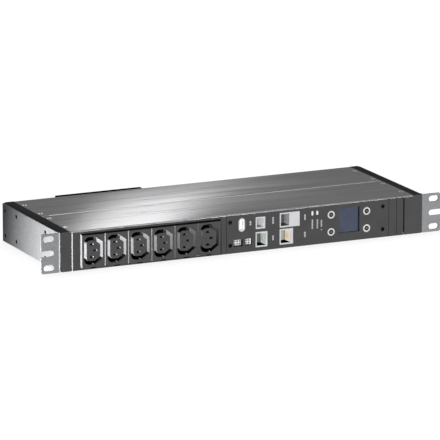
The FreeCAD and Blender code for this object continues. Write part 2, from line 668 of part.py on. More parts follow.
def usb_port():
    """Upright serial port: a round-ended shell with an off-centre contact tongue."""
    x = CONTROL_LEFT + USB_LEFT + USB_WIDTH / 2
    face = FRONT + PORT_SETBACK
    shell = obround(x, USB_Z, USB_WIDTH, USB_HEIGHT, face, BOARD_FRONT)
    low, high = USB_Z - USB_OPENING_HEIGHT / 2, USB_Z + USB_OPENING_HEIGHT / 2
    well = rounded_block(x - USB_OPENING_WIDTH / 2, x + USB_OPENING_WIDTH / 2,
                         face, face + USB_OPENING_DEPTH, low, high, USB_OPENING_WIDTH / 4)
    tongue_x = x + USB_TONGUE_SHIFT
    tongue = box(tongue_x - USB_TONGUE_T / 2, tongue_x + USB_TONGUE_T / 2,
                 face + PORT_SETBACK, face + USB_OPENING_DEPTH,
                 low + JACK_WALL_MIN, high - JACK_WALL_MIN)
    return shell.cut(well).fuse(tongue).removeSplitter()


def display_module():
    """Display panel in its frame, on four legs that stand on the board."""
    y0 = FRONT + DISPLAY_RECESS + DISPLAY_GLASS_T
    y1 = y0 + DISPLAY_MODULE_T
    frame = display_block(DISPLAY_COLLAR_T, y0, y1)
    x0 = CONTROL_LEFT + DISPLAY_LEFT
    legs = []
    for x in (x0 + DISPLAY_LEG_INSET, x0 + DISPLAY_WIDTH - DISPLAY_LEG_INSET):
        for way in (-1, 1):
            z = DISPLAY_Z + way * (DISPLAY_HEIGHT / 2 - DISPLAY_LEG_INSET)
            legs.append(post(x, y1, z, DISPLAY_LEG_SIZE, BOARD_FRONT - y1))
    return frame.fuse(legs)


def button(x, z):
    """Push button: a cap that runs in the ring, a flange behind the panel and a stem to its switch."""
    flange_y = FRONT + PANEL_T + FIT
    switch_y = BOARD_FRONT - SWITCH_HEIGHT - SWITCH_PLUNGER_H
    stem_end = switch_y - BUTTON_TRAVEL - FIT
    cap = rod(x, FRONT, z, BUTTON_CAP_D, flange_y - FRONT, V(0, 1, 0))
    flange = rod(x, flange_y, z, BUTTON_FLANGE_D, BUTTON_FLANGE_T, V(0, 1, 0))
    stem = post(x, flange_y, z, BUTTON_STEM_SIZE, stem_end - flange_y)
    return cap.fuse([flange, stem]).removeSplitter()


def button_ring(x, z):
    """Pale ring let into the panel round a button."""
    ring = rod(x, FRONT, z, BUTTON_RING_D, BUTTON_RING_T, V(0, 1, 0))
    return ring.cut(rod(x, FRONT, z, BUTTON_CAP_D + 2 * RUNNING, BUTTON_RING_T, V(0, 1, 0)))


def tact_switches():
    """Four board switches, one behind each button."""
    switches = []
    for x, z in button_places():
        y0 = BOARD_FRONT - SWITCH_HEIGHT
        case = post(x, y0, z, SWITCH_SIZE, SWITCH_HEIGHT)
        plunger = post(x, y0 - SWITCH_PLUNGER_H, z, SWITCH_PLUNGER_SIZE, SWITCH_PLUNGER_H)
        switches.append(case.fuse(plunger))
    return Part.makeCompound(switches)


def inlet_outer(margin, y0, y1):
    """Block round the inlet body, grown by a margin."""
    half_width = INLET_WIDTH / 2 + margin
    half_height = INLET_HEIGHT / 2 + margin
    return box(INLET_HOUSING_X - half_width, INLET_HOUSING_X + half_width, y0, y1,
               INLET_Z - half_height, INLET_Z + half_height)


def inlet_spigot(grow, y0, y1):
    """Block of the inlet housing's tongue, which passes through the rear panel."""
    half = INLET_HOUSING_WIDTH / 2 - INLET_SPIGOT_INSET + grow
    return box(INLET_HOUSING_X - half, INLET_HOUSING_X + half, y0, y1,
               FLOOR + RIB_HEIGHT + FIT - grow, CEILING - RIB_HEIGHT - FIT + grow)


def inlet_housing():
    """Shallow moulded box on the rear panel that carries the inlet."""
    y0 = BACK + FIT
    y1 = BACK + INLET_HOUSING_DEPTH
    half = INLET_HOUSING_WIDTH / 2
    shell = box(INLET_HOUSING_X - half, INLET_HOUSING_X + half, y0, y1,
                BOTTOM + INLET_HOUSING_RISE, TOP - INLET_HOUSING_DROP)
    rim = [e for e in shell.Edges if min(v.Y for v in e.Vertexes) > y1 - FIT]
    shell = shell.makeChamfer(INLET_HOUSING_CORNER, rim)
    tongue_end = BACK - PANEL_T - INLET_SPIGOT_LENGTH
    tongue = inlet_spigot(0, tongue_end, y1 - INLET_HOUSING_WALL)
    hollow = inlet_spigot(-INLET_HOUSING_WALL, tongue_end, y1 - INLET_HOUSING_WALL)
    return shell.fuse(tongue).cut([hollow, inlet_outer(FIT, tongue_end, y1)]).removeSplitter()


def rear_panel():
    """Blank rear plate with the opening for the inlet housing's tongue."""
    end = PROFILE_X - FIT
    plate = box(-end, end, BACK - PANEL_T, BACK, BOTTOM, PANEL_TOP)
    return plate.cut(inlet_spigot(FIT, BACK - PANEL_T, BACK))


def inlet_pin_places():
    """Middle of the three inlet pins as (x, z): line, neutral and earth."""
    return (
        (INLET_HOUSING_X + INLET_PIN_LIVE_X, INLET_Z + INLET_PIN_SPACING / 2),
        (INLET_HOUSING_X + INLET_PIN_LIVE_X, INLET_Z - INLET_PIN_SPACING / 2),
        (INLET_HOUSING_X + INLET_PIN_EARTH_X, INLET_Z),
    )


def inlet_pin_block(place, grow, y0, y1):
    """Flat pin of the inlet, grown by a clearance."""
    x, z = place
    return box(x - INLET_PIN_WIDTH / 2 - grow, x + INLET_PIN_WIDTH / 2 + grow, y0, y1,
               z - INLET_PIN_T / 2 - grow, z + INLET_PIN_T / 2 + grow)


def power_inlet():
    """Power inlet body with a keyed well that opens to the rear."""
    body = inlet_outer(0, INLET_REAR, INLET_FACE)
    well = keyed_outline(INLET_HOUSING_X, INLET_Z, INLET_CAVITY_WIDTH, INLET_CAVITY_HEIGHT, INLET_CAVITY_R,
                         INLET_CAVITY_CHAMFER, INLET_CAVITY_CHAMFER,
                         INLET_FACE - INLET_CAVITY_DEPTH, INLET_FACE)
    slots = [inlet_pin_block(place, FIT, INLET_REAR, INLET_FACE) for place in inlet_pin_places()]
    return body.cut([well] + slots)


def inlet_pins():
    """Three flat pins that stand in the inlet's well."""
    end = INLET_FACE - INLET_CAVITY_DEPTH + INLET_PIN_LENGTH
    pins = []
    for place in inlet_pin_places():
        pin = inlet_pin_block(place, 0, INLET_REAR, end)
        tip = [e for e in edges_along(pin, V(1, 0, 0)) if e.Vertexes[0].Y > end - FIT]
        pins.append(pin.makeChamfer(INLET_PIN_T / 3, tip))
    return Part.makeCompound(pins)


def lead_places():
    """Middle of the three leads as (x, z), in line with the busbars."""
    return pin_places(INLET_HOUSING_X)


def lead(index):
    """Insulated conductor that runs straight from an inlet pin to its busbar."""
    x, z = lead_places()[index]
    y0 = BUSBAR_FRONT + BUSBAR_T
    return rod(x, y0, z, LEAD_D, INLET_REAR - y0, V(0, 1, 0))


def web_grommet():
    """Rubber grommet in the slot through both webs, with a lip on the rear side."""
    joint = FRONT + JOINT_DEPTH
    width, height = grommet_width(), grommet_height()
    sleeve = obround(INLET_HOUSING_X, OUTLET_Z, width - 2 * FIT, height - 2 * FIT,
                     joint - WALL_T, joint + WALL_T)
    lip = obround(INLET_HOUSING_X, OUTLET_Z, width + 2 * GROMMET_LIP, height + 2 * GROMMET_LIP,
                  joint + WALL_T, joint + WALL_T + GROMMET_LIP_T)
    bore = obround(INLET_HOUSING_X, OUTLET_Z, width - 2 * GROMMET_T, height - 2 * GROMMET_T, FRONT, BACK)
    return sleeve.fuse(lip).cut(bore).removeSplitter()


def metering_board():
    """Board that stands in the rear profile's guides, with holes for the leads."""
    y0 = METER_BOARD_Y - BOARD_T / 2
    half = METER_BOARD_WIDTH / 2
    board = box(INLET_HOUSING_X - half, INLET_HOUSING_X + half, y0, y0 + BOARD_T,
                FLOOR + FIT, CEILING - FIT)
    return board.cut([rod(x, y0, z, SENSOR_BORE, BOARD_T, V(0, 1, 0)) for x, z in lead_places()])


def current_sensors():
    """Square ring sensors on the metering board round the line and neutral leads."""
    y0 = METER_BOARD_Y - BOARD_T / 2 - SENSOR_T
    rings = []
    for x, z in lead_places()[:2]:
        case = post(x, y0, z, SENSOR_SIZE, SENSOR_T)
        rings.append(case.cut(rod(x, y0, z, SENSOR_BORE, SENSOR_T, V(0, 1, 0))))
    return Part.makeCompound(rings)


def profile_screws():
    """Eight countersunk screw heads in the tops of the profiles."""
    return Part.makeCompound([
        countersunk(x, y, TOP, TOP_HEAD_D, TOP_NECK_D, WALL_T, V(0, 0, -1))
        for x, y in top_screw_places()
    ])


def bracket_screws():
    """Twelve countersunk screw heads in the side plates."""
    face = CAP_X + PLATE_T
    return Part.makeCompound([
        countersunk(side * face, y, z, SIDE_HEAD_D, SIDE_NECK_D, PLATE_T, V(-side, 0, 0))
        for side in (-1, 1) for y, z in side_screw_places()
    ])


def filler(x0, x1):
    """Plain front strip with one pair of hooks."""
    return panel_plate(x0, x1, [(x0 + x1) / 2]).removeSplitter()


def build():
    """Every piece of the unit by name."""
    pieces = {
        "front_profile": profile(FRONT, 1),
        "rear_profile": profile(BACK, -1),
        "left_end_cap": end_cap(-1, CAP_FRONT_LEFT),
        "right_end_cap": end_cap(1, CAP_FRONT_RIGHT),
        "left_bracket": bracket(-1),
        "right_bracket": bracket(1),
        "profile_screws": profile_screws(),
        "bracket_screws": bracket_screws(),
        "outlet_panel": outlet_panel(),
        "line_busbar": busbar(0),
        "neutral_busbar": busbar(1),
        "earth_busbar": busbar(2),
        "control_panel": control_panel(),
        "panel_screws": panel_screws(),
        "control_board": control_board(),
        "filler_strip_inner": filler(FILLERS_LEFT, FILLERS_LEFT + FILLER_WIDTH),
        "filler_strip_outer": filler(FILLERS_LEFT + FILLER_WIDTH + PANEL_LINE, FILLERS_RIGHT),
        "display_window": display_block(DISPLAY_COLLAR_T, FRONT + DISPLAY_RECESS,
                                        FRONT + DISPLAY_RECESS + DISPLAY_GLASS_T),
        "display_module": display_module(),
        "tact_switches": tact_switches(),
        "usb_port": usb_port(),
        "sensor_port": jack(SENSOR_JACK),
        "bus_port": jack(BUS_JACK),
        "network_port": jack(NETWORK_JACK),
        "link_port": jack(LINK_JACK),
        "status_lights": Part.makeCompound([light_form(x, 0, FRONT, BOARD_FRONT) for x in LIGHT_X]),
        "rear_panel": rear_panel(),
        "inlet_housing": inlet_housing(),
        "power_inlet": power_inlet(),
        "inlet_pins": inlet_pins(),
        "line_lead": lead(0),
        "neutral_lead": lead(1),
        "earth_lead": lead(2),
        "web_grommet": web_grommet(),
        "metering_board": metering_board(),
        "current_sensors": current_sensors(),
    }
    for number, x in enumerate(OUTLET_CENTRES, start=1):
        pieces[f"outlet_{number}"] = outlet(x)
    for number, (x, z) in enumerate(button_places(), start=1):
        pieces[f"button_{number}"] = button(x, z)
        pieces[f"button_ring_{number}"] = button_ring(x, z)
    for name, left, columns in TERMINALS:
        pieces[name] = terminal_block(left, columns)
    return pieces


os.makedirs("parts", exist_ok=True)
for node, shape in build().items():
    print(f"{node}: {len(shape.Solids)} solids, {shape.Volume / 1000:.2f} cm3, valid {shape.isValid()}")
    shape.exportStep(f"parts/{node}.step")
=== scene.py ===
"""Looks of a flat rack power distribution unit with outlets, ports, a display and push buttons."""
import json
import logging
import math
from collections.abc import Sequence
from dataclasses import dataclass
from enum import Enum

import bmesh
import bpy
from mathutils import Matrix, Vector


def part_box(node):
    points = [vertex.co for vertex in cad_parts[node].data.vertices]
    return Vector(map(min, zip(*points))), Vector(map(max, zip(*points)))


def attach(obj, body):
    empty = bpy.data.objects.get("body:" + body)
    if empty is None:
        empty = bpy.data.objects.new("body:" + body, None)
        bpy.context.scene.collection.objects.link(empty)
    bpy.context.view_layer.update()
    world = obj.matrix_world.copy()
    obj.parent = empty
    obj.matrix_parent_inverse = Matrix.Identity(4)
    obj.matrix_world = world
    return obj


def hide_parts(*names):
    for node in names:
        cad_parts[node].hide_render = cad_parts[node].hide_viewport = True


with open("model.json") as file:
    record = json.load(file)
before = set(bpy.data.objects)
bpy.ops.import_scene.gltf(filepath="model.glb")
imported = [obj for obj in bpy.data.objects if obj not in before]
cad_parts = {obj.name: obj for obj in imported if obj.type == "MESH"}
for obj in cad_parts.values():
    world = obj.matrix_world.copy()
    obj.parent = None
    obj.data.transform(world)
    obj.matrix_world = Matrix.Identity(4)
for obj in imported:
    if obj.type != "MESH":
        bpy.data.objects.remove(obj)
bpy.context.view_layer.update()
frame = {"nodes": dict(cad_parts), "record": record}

LOG = logging.getLogger("rack_unit")
Colour = tuple[float, float, float, float]
Point = tuple[float, float, float]

MM = 0.001
WHITE: Colour = (1.0, 1.0, 1.0, 1.0)
# Front face of the panels, and the row of outlets along it, in millimetres.
FACE_Y = -1.5
OUTLET_X = -179.95
OUTLET_PITCH = 27.6
OUTLET_COUNT = 6
# Lobes of a screw's recess.
LOBES = 6
# Range that noise hardly leaves, which a pattern stretches to zero and one.
NOISE_LOW, NOISE_HIGH = 0.3, 0.7
# Octaves of noise, from a plain pattern to a broken one.
FEW_OCTAVES, SOME_OCTAVES, MANY_OCTAVES = 2.0, 3.0, 4.0
# Samples of the shading that softens edges.
EDGE_SAMPLES = 4
# Sockets of the Mix node, by number because their names repeat.
MIX_FACTOR, MIX_VALUE_A, MIX_VALUE_B, MIX_COLOUR_A, MIX_COLOUR_B = 0, 2, 3, 6, 7
MIX_COLOUR_OUT = 2


class Body(Enum):
    """Bodies that a piece can ride on."""

    CHASSIS = "chassis"
    BUTTON_1 = "button_1_body"
    BUTTON_2 = "button_2_body"
    BUTTON_3 = "button_3_body"
    BUTTON_4 = "button_4_body"


class Facing(Enum):
    """Ways that the front of a turned shape can face."""

    FRONT = (0.0, -1.0, 0.0)
    LEFT = (-1.0, 0.0, 0.0)
    RIGHT = (1.0, 0.0, 0.0)
    UP = (0.0, 0.0, 1.0)


def linear(hex_colour: str) -> Colour:
    """Turns an sRGB hex value into linear colour.

    Args:
        hex_colour: Six hex digits, with or without a leading hash.

    Returns:
        Linear red, green and blue with an alpha of one.
    """
    digits = hex_colour.lstrip("#")
    channels = [int(digits[i:i + 2], 16) / 255 for i in (0, 2, 4)]
    red, green, blue = [c / 12.92 if c <= 0.04045 else ((c + 0.055) / 1.055) ** 2.4 for c in channels]
    return red, green, blue, 1.0


def add_node(tree: bpy.types.NodeTree, kind: str, settings: dict | None = None,
             inputs: dict | None = None) -> bpy.types.Node:
    """Adds a node with its settings and its inputs.

    Args:
        tree: Node tree that gets the node.
        kind: Type name of the node.
        settings: Properties of the node by name.
        inputs: Values, or sockets to link from, by input name or number.

    Returns:
        The new node.
    """
    node = tree.nodes.new(kind)
    for key, value in (settings or {}).items():
        setattr(node, key, value)
    for key, value in (inputs or {}).items():
        if isinstance(value, bpy.types.NodeSocket):
            tree.links.new(value, node.inputs[key])
        else:
            node.inputs[key].default_value = value
    return node


@dataclass(frozen=True)
class Finish:
    """Plain part of every finish: what the material is, and its typical shader values."""

    name: str
    colour: str
    shade: str
    roughness: float
    metallic: float = 0.0
    ior: float = 1.5
    gloss: float = 0.5
    roughness_vary: float = 0.05

    def material(self) -> bpy.types.Material:
        """Makes the material, or gives the one that was made before.

        Returns:
            The material of this finish.
        """
        known = bpy.data.materials.get(self.name)
        if known:
            return known
        material = bpy.data.materials.new(self.name)
        material.use_nodes = True
        tree = material.node_tree
        shader = tree.nodes["Principled BSDF"]
        shader.inputs["Metallic"].default_value = self.metallic
        shader.inputs["IOR"].default_value = self.ior
        shader.inputs["Specular IOR Level"].default_value = self.gloss
        self.pattern(tree, shader)
        return material

    def pattern(self, tree: bpy.types.NodeTree, shader: bpy.types.Node) -> None:
        """Adds the nodes of the pattern.

        Args:
            tree: Node tree of the material.
            shader: Its principled shader.
        """
        raise NotImplementedError

    def blend(self, tree: bpy.types.NodeTree, shader: bpy.types.Node, factor: bpy.types.NodeSocket) -> None:
        """Lets a pattern vary the colour and the roughness.

        Args:
            tree: Node tree of the material.
            shader: Its principled shader.
            factor: Pattern from zero to one.
        """
        ramp = add_node(tree, "ShaderNodeMapRange", {}, {
            "Value": factor, "From Min": NOISE_LOW, "From Max": NOISE_HIGH})
        mix = add_node(tree, "ShaderNodeMix", {"data_type": "RGBA"}, {
            MIX_FACTOR: ramp.outputs[0], MIX_COLOUR_A: linear(self.colour), MIX_COLOUR_B: linear(self.shade)})
        rough = add_node(tree, "ShaderNodeMapRange", {}, {
            "Value": ramp.outputs[0], "To Min": self.roughness - self.roughness_vary,
            "To Max": self.roughness + self.roughness_vary})
        tree.links.new(mix.outputs[MIX_COLOUR_OUT], shader.inputs["Base Color"])
        tree.links.new(rough.outputs[0], shader.inputs["Roughness"])


@dataclass(frozen=True)
class ReliefFinish(Finish):
    """Finish whose pattern stands out a little, and whose edges are softened by shading."""

    relief_mm: float = 0.01
    edge_mm: float = 0.3
    bump: float = 0.2

    def raise_pattern(self, tree: bpy.types.NodeTree, shader: bpy.types.Node,
                      height: bpy.types.NodeSocket) -> None:
        """Softens the edges and lets a pattern stand out.

        Args:
            tree: Node tree of the material.
            shader: Its principled shader.
            height: Pattern that stands out.
        """
        edge = add_node(tree, "ShaderNodeBevel", {"samples": EDGE_SAMPLES}, {"Radius": self.edge_mm * MM})
        bump = add_node(tree, "ShaderNodeBump", {}, {
            "Strength": self.bump, "Distance": self.relief_mm * MM, "Height": height,
            "Normal": edge.outputs["Normal"]})
        tree.links.new(bump.outputs["Normal"], shader.inputs["Normal"])


@dataclass(frozen=True)
class MouldedPlastic(ReliefFinish):
    """Moulded plastic: a fine spark-eroded grain that breaks up the gloss, and soft edges."""

    gloss: float = 0.08
    roughness_vary: float = 0.06
    relief_mm: float = 0.03
    edge_mm: float = 0.25
    bump: float = 0.35
    # The real grain is about 0.1 mm, too fine to show, so it is drawn coarser.
    grain_mm: float = 0.5
    grain_share: float = 0.5
    mottle_mm: float = 14.0

    def pattern(self, tree: bpy.types.NodeTree, shader: bpy.types.Node) -> None:
        """Grain for the bump, and broad faint clouds for the colour.

        Args:
            tree: Node tree of the material.
            shader: Its principled shader.
        """
        place = add_node(tree, "ShaderNodeTexCoord")
        clouds = add_node(tree, "ShaderNodeTexNoise", {}, {
            "Vector": place.outputs["Object"], "Scale": 1 / (self.mottle_mm * MM), "Detail": SOME_OCTAVES})
        grain = add_node(tree, "ShaderNodeTexNoise", {}, {
            "Vector": place.outputs["Object"], "Scale": 1 / (self.grain_mm * MM), "Detail": FEW_OCTAVES})
        both = add_node(tree, "ShaderNodeMix", {"data_type": "FLOAT"}, {
            MIX_FACTOR: self.grain_share, MIX_VALUE_A: clouds.outputs["Fac"],
            MIX_VALUE_B: grain.outputs["Fac"]})
        self.blend(tree, shader, both.outputs[0])
        self.raise_pattern(tree, shader, grain.outputs["Fac"])


@dataclass(frozen=True)
class SlottedMoulding(MouldedPlastic):
    """Moulding for a row of outlets: grey, with painted shade that turns the pin slots of each core black."""

    # Colour of the painted shade deep in the pin slots.
    inner: str = "#040404"
    first_x_mm: float = 0.0
    pitch_mm: float = 1.0
    core_mm: float = 7.6
    # Depths behind the face over which the painted shade fades in.
    shade_start_mm: float = 2.0
    shade_end_mm: float = 3.4

    def pattern(self, tree: bpy.types.NodeTree, shader: bpy.types.Node) -> None:
        """Plain moulding with painted shade: it turns black with its depth behind the face, near the middle
        of each outlet.

        Args:
            tree: Node tree of the material.
            shader: Its principled shader.
        """
        super().pattern(tree, shader)
        place = add_node(tree, "ShaderNodeTexCoord")
        axes = add_node(tree, "ShaderNodeSeparateXYZ", {}, {"Vector": place.outputs["Object"]})
        along = add_node(tree, "ShaderNodeMath", {"operation": "SUBTRACT"}, {
            0: axes.outputs["X"], 1: self.first_x_mm * MM})
        aside = add_node(tree, "ShaderNodeMath", {"operation": "PINGPONG"}, {
            0: along.outputs[0], 1: self.pitch_mm / 2 * MM})
        in_core = add_node(tree, "ShaderNodeMath", {"operation": "LESS_THAN"}, {
            0: aside.outputs[0], 1: self.core_mm * MM})
        depth = add_node(tree, "ShaderNodeMapRange", {}, {
            "Value": axes.outputs["Y"], "From Min": (FACE_Y + self.shade_start_mm) * MM,
            "From Max": (FACE_Y + self.shade_end_mm) * MM})
        # Painted shade: black where the slots lie deep behind the face.
        black = add_node(tree, "ShaderNodeMath", {"operation": "MULTIPLY"}, {
            0: in_core.outputs[0], 1: depth.outputs[0]})
        grey = shader.inputs["Base Color"].links[0].from_socket
        mix = add_node(tree, "ShaderNodeMix", {"data_type": "RGBA"}, {
            MIX_FACTOR: black.outputs[0], MIX_COLOUR_A: grey, MIX_COLOUR_B: linear(self.inner)})
        tree.links.new(mix.outputs[MIX_COLOUR_OUT], shader.inputs["Base Color"])


@dataclass(frozen=True)
class ExtrudedAluminium(ReliefFinish):
    """Anodised extrusion: a satin metal with faint die lines that run along its length."""

    edge_mm: float = 0.08
    bump: float = 0.06
    line_length_mm: float = 180.0
    # The real die lines are about 0.2 mm wide, too fine to show, so they are drawn coarser.
    line_width_mm: float = 1.6
    band_width_mm: float = 12.0
    band_share: float = 0.72
    sheen_spread: float = 1.0
    sheen_turn: float = 0.25
    edge_tint: str = "#cbcbcb"

    def pattern(self, tree: bpy.types.NodeTree, shader: bpy.types.Node) -> None:
        """Die lines and broader bands stretched along X, with a gloss that spreads along them.

        Args:
            tree: Node tree of the material.
            shader: Its principled shader.
        """
        shader.inputs["Anisotropic"].default_value = self.sheen_spread
        shader.inputs["Anisotropic Rotation"].default_value = self.sheen_turn
        shader.inputs["Specular Tint"].default_value = linear(self.edge_tint)
        across_lines = add_node(tree, "ShaderNodeTangent", {"direction_type": "RADIAL", "axis": "X"})
        tree.links.new(across_lines.outputs["Tangent"], shader.inputs["Tangent"])
        place = add_node(tree, "ShaderNodeTexCoord")
        along = 1 / (self.line_length_mm * MM)
        layers = []
        for width in (self.line_width_mm, self.band_width_mm):
            across = 1 / (width * MM)
            stretch = add_node(tree, "ShaderNodeMapping", {}, {
                "Vector": place.outputs["Object"], "Scale": (along, across, across)})
            layers.append(add_node(tree, "ShaderNodeTexNoise", {}, {
                "Vector": stretch.outputs["Vector"], "Scale": 1.0, "Detail": MANY_OCTAVES}))
        lines, bands = layers
        both = add_node(tree, "ShaderNodeMix", {"data_type": "FLOAT"}, {
            MIX_FACTOR: self.band_share, MIX_VALUE_A: lines.outputs["Fac"],
            MIX_VALUE_B: bands.outputs["Fac"]})
        self.blend(tree, shader, both.outputs[0])
        self.raise_pattern(tree, shader, lines.outputs["Fac"])


@dataclass(frozen=True)
class PlatedMetal(ReliefFinish):
    """Plated or stamped metal: a dull sheen with small flecks in it."""

    # The real flecks are about 0.1 mm, too fine to show, so they are drawn coarser.
    fleck_mm: float = 1.3
    cloud_flecks: float = 5.0
    cloud_share: float = 0.6

    def pattern(self, tree: bpy.types.NodeTree, shader: bpy.types.Node) -> None:
        """Flecks from cells of differing tone, broken up by clouds several flecks wide.

        Args:
            tree: Node tree of the material.
            shader: Its principled shader.
        """
        place = add_node(tree, "ShaderNodeTexCoord")
        cells = add_node(tree, "ShaderNodeTexVoronoi", {}, {
            "Vector": place.outputs["Object"], "Scale": 1 / (self.fleck_mm * MM)})
        tone = add_node(tree, "ShaderNodeSeparateColor", {}, {"Color": cells.outputs["Color"]})
        clouds = add_node(tree, "ShaderNodeTexNoise", {}, {
            "Vector": place.outputs["Object"], "Scale": 1 / (self.cloud_flecks * self.fleck_mm * MM),
            "Detail": MANY_OCTAVES})
        both = add_node(tree, "ShaderNodeMix", {"data_type": "FLOAT"}, {
            MIX_FACTOR: self.cloud_share, MIX_VALUE_A: tone.outputs["Red"],
            MIX_VALUE_B: clouds.outputs["Fac"]})
        self.blend(tree, shader, both.outputs[0])
        self.raise_pattern(tree, shader, clouds.outputs["Fac"])


@dataclass(frozen=True)
class ClearPane(Finish):
    """Tinted acrylic pane: smooth, with a trace of polishing waviness."""

    roughness_vary: float = 0.01
    wave_mm: float = 9.0
    cover: float = 0.75

    def pattern(self, tree: bpy.types.NodeTree, shader: bpy.types.Node) -> None:
        """Clear tint with very slight waves in its gloss.

        Args:
            tree: Node tree of the material.
            shader: Its principled shader.
        """
        shader.inputs["Alpha"].default_value = self.cover
        place = add_node(tree, "ShaderNodeTexCoord")
        waves = add_node(tree, "ShaderNodeTexNoise", {}, {
            "Vector": place.outputs["Object"], "Scale": 1 / (self.wave_mm * MM)})
        self.blend(tree, shader, waves.outputs["Fac"])


# Satin grey metal that pulls a soft highlight out along its die lines.
ALUMINIUM = ExtrudedAluminium("Anodised aluminium, satin", "#4c4c4d", "#6e6e6f", 0.3, metallic=1.0)
# Dull graphite with no gloss, so the caps stay darker than the metal beside them.
CAP_PLASTIC = MouldedPlastic("ABS, moulded, graphite cap", "#4e4e4f", "#575758", 0.6, gloss=0.0)
# Much the same graphite with a faint sheen.
PANEL_PLASTIC = MouldedPlastic("ABS, moulded, graphite panel", "#484849", "#525253", 0.55, gloss=0.04)
# Harder, finer-grained dark grey, with painted shade that falls to black in the pin slots.
OUTLET_PLASTIC = SlottedMoulding("Polyamide, moulded, dark grey", "#4b4b4c", "#555556", 0.5, gloss=0.04,
                                 grain_mm=0.4, first_x_mm=OUTLET_X, pitch_mm=OUTLET_PITCH)
# Plain black with a soft sheen on its edges.
BLACK_PLASTIC = MouldedPlastic("Polyamide, moulded, black", "#131314", "#1a1a1b", 0.5, gloss=0.05,
                               grain_mm=0.4)
# Matt silver-grey sheet with small flecks.
STEEL = PlatedMetal("Steel sheet, zinc flake coating", "#8f9092", "#9b9c9e", 0.55, gloss=0.0)
# Small grey heads that glint where they turn to the light.
BRIGHT_SCREW = PlatedMetal("Screw steel, bright zinc", "#88898b", "#999a9c", 0.45, metallic=1.0,
                           fleck_mm=0.6)
# Blackened heads with hardly a glint.
BLACK_SCREW = PlatedMetal("Screw steel, black oxide", "#0c0c0d", "#131314", 0.5, gloss=0.05, fleck_mm=0.6)
# Warm yellow strip with a soft shine.
BRASS = PlatedMetal("Brass, stamped", "#c9a253", "#d9b56a", 0.3, metallic=1.0, fleck_mm=0.8)
# Warm silver with a soft shine.
NICKEL = PlatedMetal("Brass, nickel plated", "#bdb8ad", "#cfcabf", 0.28, metallic=1.0, fleck_mm=0.8)
# Green resist with a faint coarse grain from the weave under it.
BOARD = MouldedPlastic("Glass epoxy board, green resist", "#1f5a34", "#27693e", 0.4, grain_mm=1.2,
                       mottle_mm=6.0)
# Smoked blue-grey pane, smooth enough to show the room.
PANE = ClearPane("Acrylic, smoked pane", "#4f576c", "#555d72", 0.08, ior=1.49, gloss=0.3)
# Unlit screen that shows through the pane as a darker blue.
SCREEN = MouldedPlastic("Display panel, dark blue film", "#495266", "#4f576c", 0.25, grain_mm=0.3,
                        mottle_mm=20.0)
# Near-black rubber that drinks the light.
BUTTON_PLASTIC = MouldedPlastic("Silicone rubber, moulded, black", "#19191a", "#212122", 0.65, gloss=0.03)
# Softer grey spot in the middle of each button.
PIP_PLASTIC = MouldedPlastic("Silicone rubber, moulded, grey", "#6e6e6f", "#787879", 0.6)
# Pale warm grey.
RING_PLASTIC = MouldedPlastic("ABS, moulded, pale grey", "#d2d2cd", "#dcdcd7", 0.45)
# Cool near-white with a light grain.
PORT_PLASTIC = MouldedPlastic("PBT, moulded, pale grey", "#d2d2d6", "#dcdcdf", 0.45)
# Pale green wall behind the contacts, its tint a painted reflection of the contacts.
GREEN_REFLECTION_LINER = MouldedPlastic("PBT, moulded, pale green, painted reflection", "#9fa8a1", "#a7b0a9", 0.5)
# Warm cream wall behind the contacts, its tint a painted reflection of the contacts.
CREAM_REFLECTION_LINER = MouldedPlastic("PBT, moulded, cream, painted reflection", "#ecdcc8", "#f1e4d3", 0.5)
# Blue-grey wall behind the contacts, its tint a painted reflection of the contacts.
BLUE_REFLECTION_LINER = MouldedPlastic("PBT, moulded, blue-grey, painted reflection", "#96989f", "#9ea0a7", 0.5)
# Mid grey that keeps the smallest jack lighter than the others.
GREY_LINER = MouldedPlastic("PBT, moulded, mid grey", "#a8a8ab", "#b2b2b5", 0.5)
# Painted shade: dark grey back behind the contacts, darkened for the shade that falls there.
PAINTED_SHADE_LINER = MouldedPlastic("PBT, moulded, dark grey, painted shade", "#62665f", "#6a6e67", 0.6, gloss=0.0, grain_mm=0.4)
# Painted shadow: dead black floor under the contacts, where the shadow falls.
PAINTED_SHADOW_LINER = MouldedPlastic("PBT, moulded, black, painted shadow", "#121212", "#181818", 0.6, gloss=0.0, grain_mm=0.4)
# Flat black of the inlet box, which stays black under the rear light.
INLET_PLASTIC = MouldedPlastic("Polyamide, moulded, matt black", "#0e0e0f", "#141415", 0.7, gloss=0.0)
# Pale strip that paints a highlight: it shows as one bright line along the joint, lit by a lamp of its own.
HIGHLIGHT_STRIP = MouldedPlastic("Pale grey strip, painted highlight", "#d4d4d6", "#dededf", 0.6, gloss=0.0)
# Light neutral grey.
TERMINAL_PLASTIC = MouldedPlastic("Polyamide, moulded, light grey", "#dcdcdd", "#e4e4e5", 0.5)
# Milky white with a soft gloss.
LENS = MouldedPlastic("Polycarbonate, frosted light pipe", "#eeeef0", "#f4f4f6", 0.3, grain_mm=0.6)
# Smooth earthy sleeve.
BROWN_LEAD = MouldedPlastic("PVC, extruded, brown", "#5a3a24", "#67432b", 0.5)
# Smooth strong blue sleeve.
BLUE_LEAD = MouldedPlastic("PVC, extruded, blue", "#24478f", "#2c51a0", 0.5)
# Smooth leaf green sleeve.
GREEN_LEAD = MouldedPlastic("PVC, extruded, green", "#4f8a2c", "#5b9935", 0.5)
# Matt black with no gloss, for the rubber grommet and for the strips of painted shade in the gaps round the
# outlets.
RUBBER_AND_PAINTED_SHADE = MouldedPlastic("Rubber, moulded, black, also for painted shade", "#0d0d0d", "#141414", 0.7, gloss=0.0)
# Thin pale print with a hint of violet.
INK = MouldedPlastic("Print ink, pale grey", "#bfbcc2", "#c9c6cc", 0.5, edge_mm=0.02)

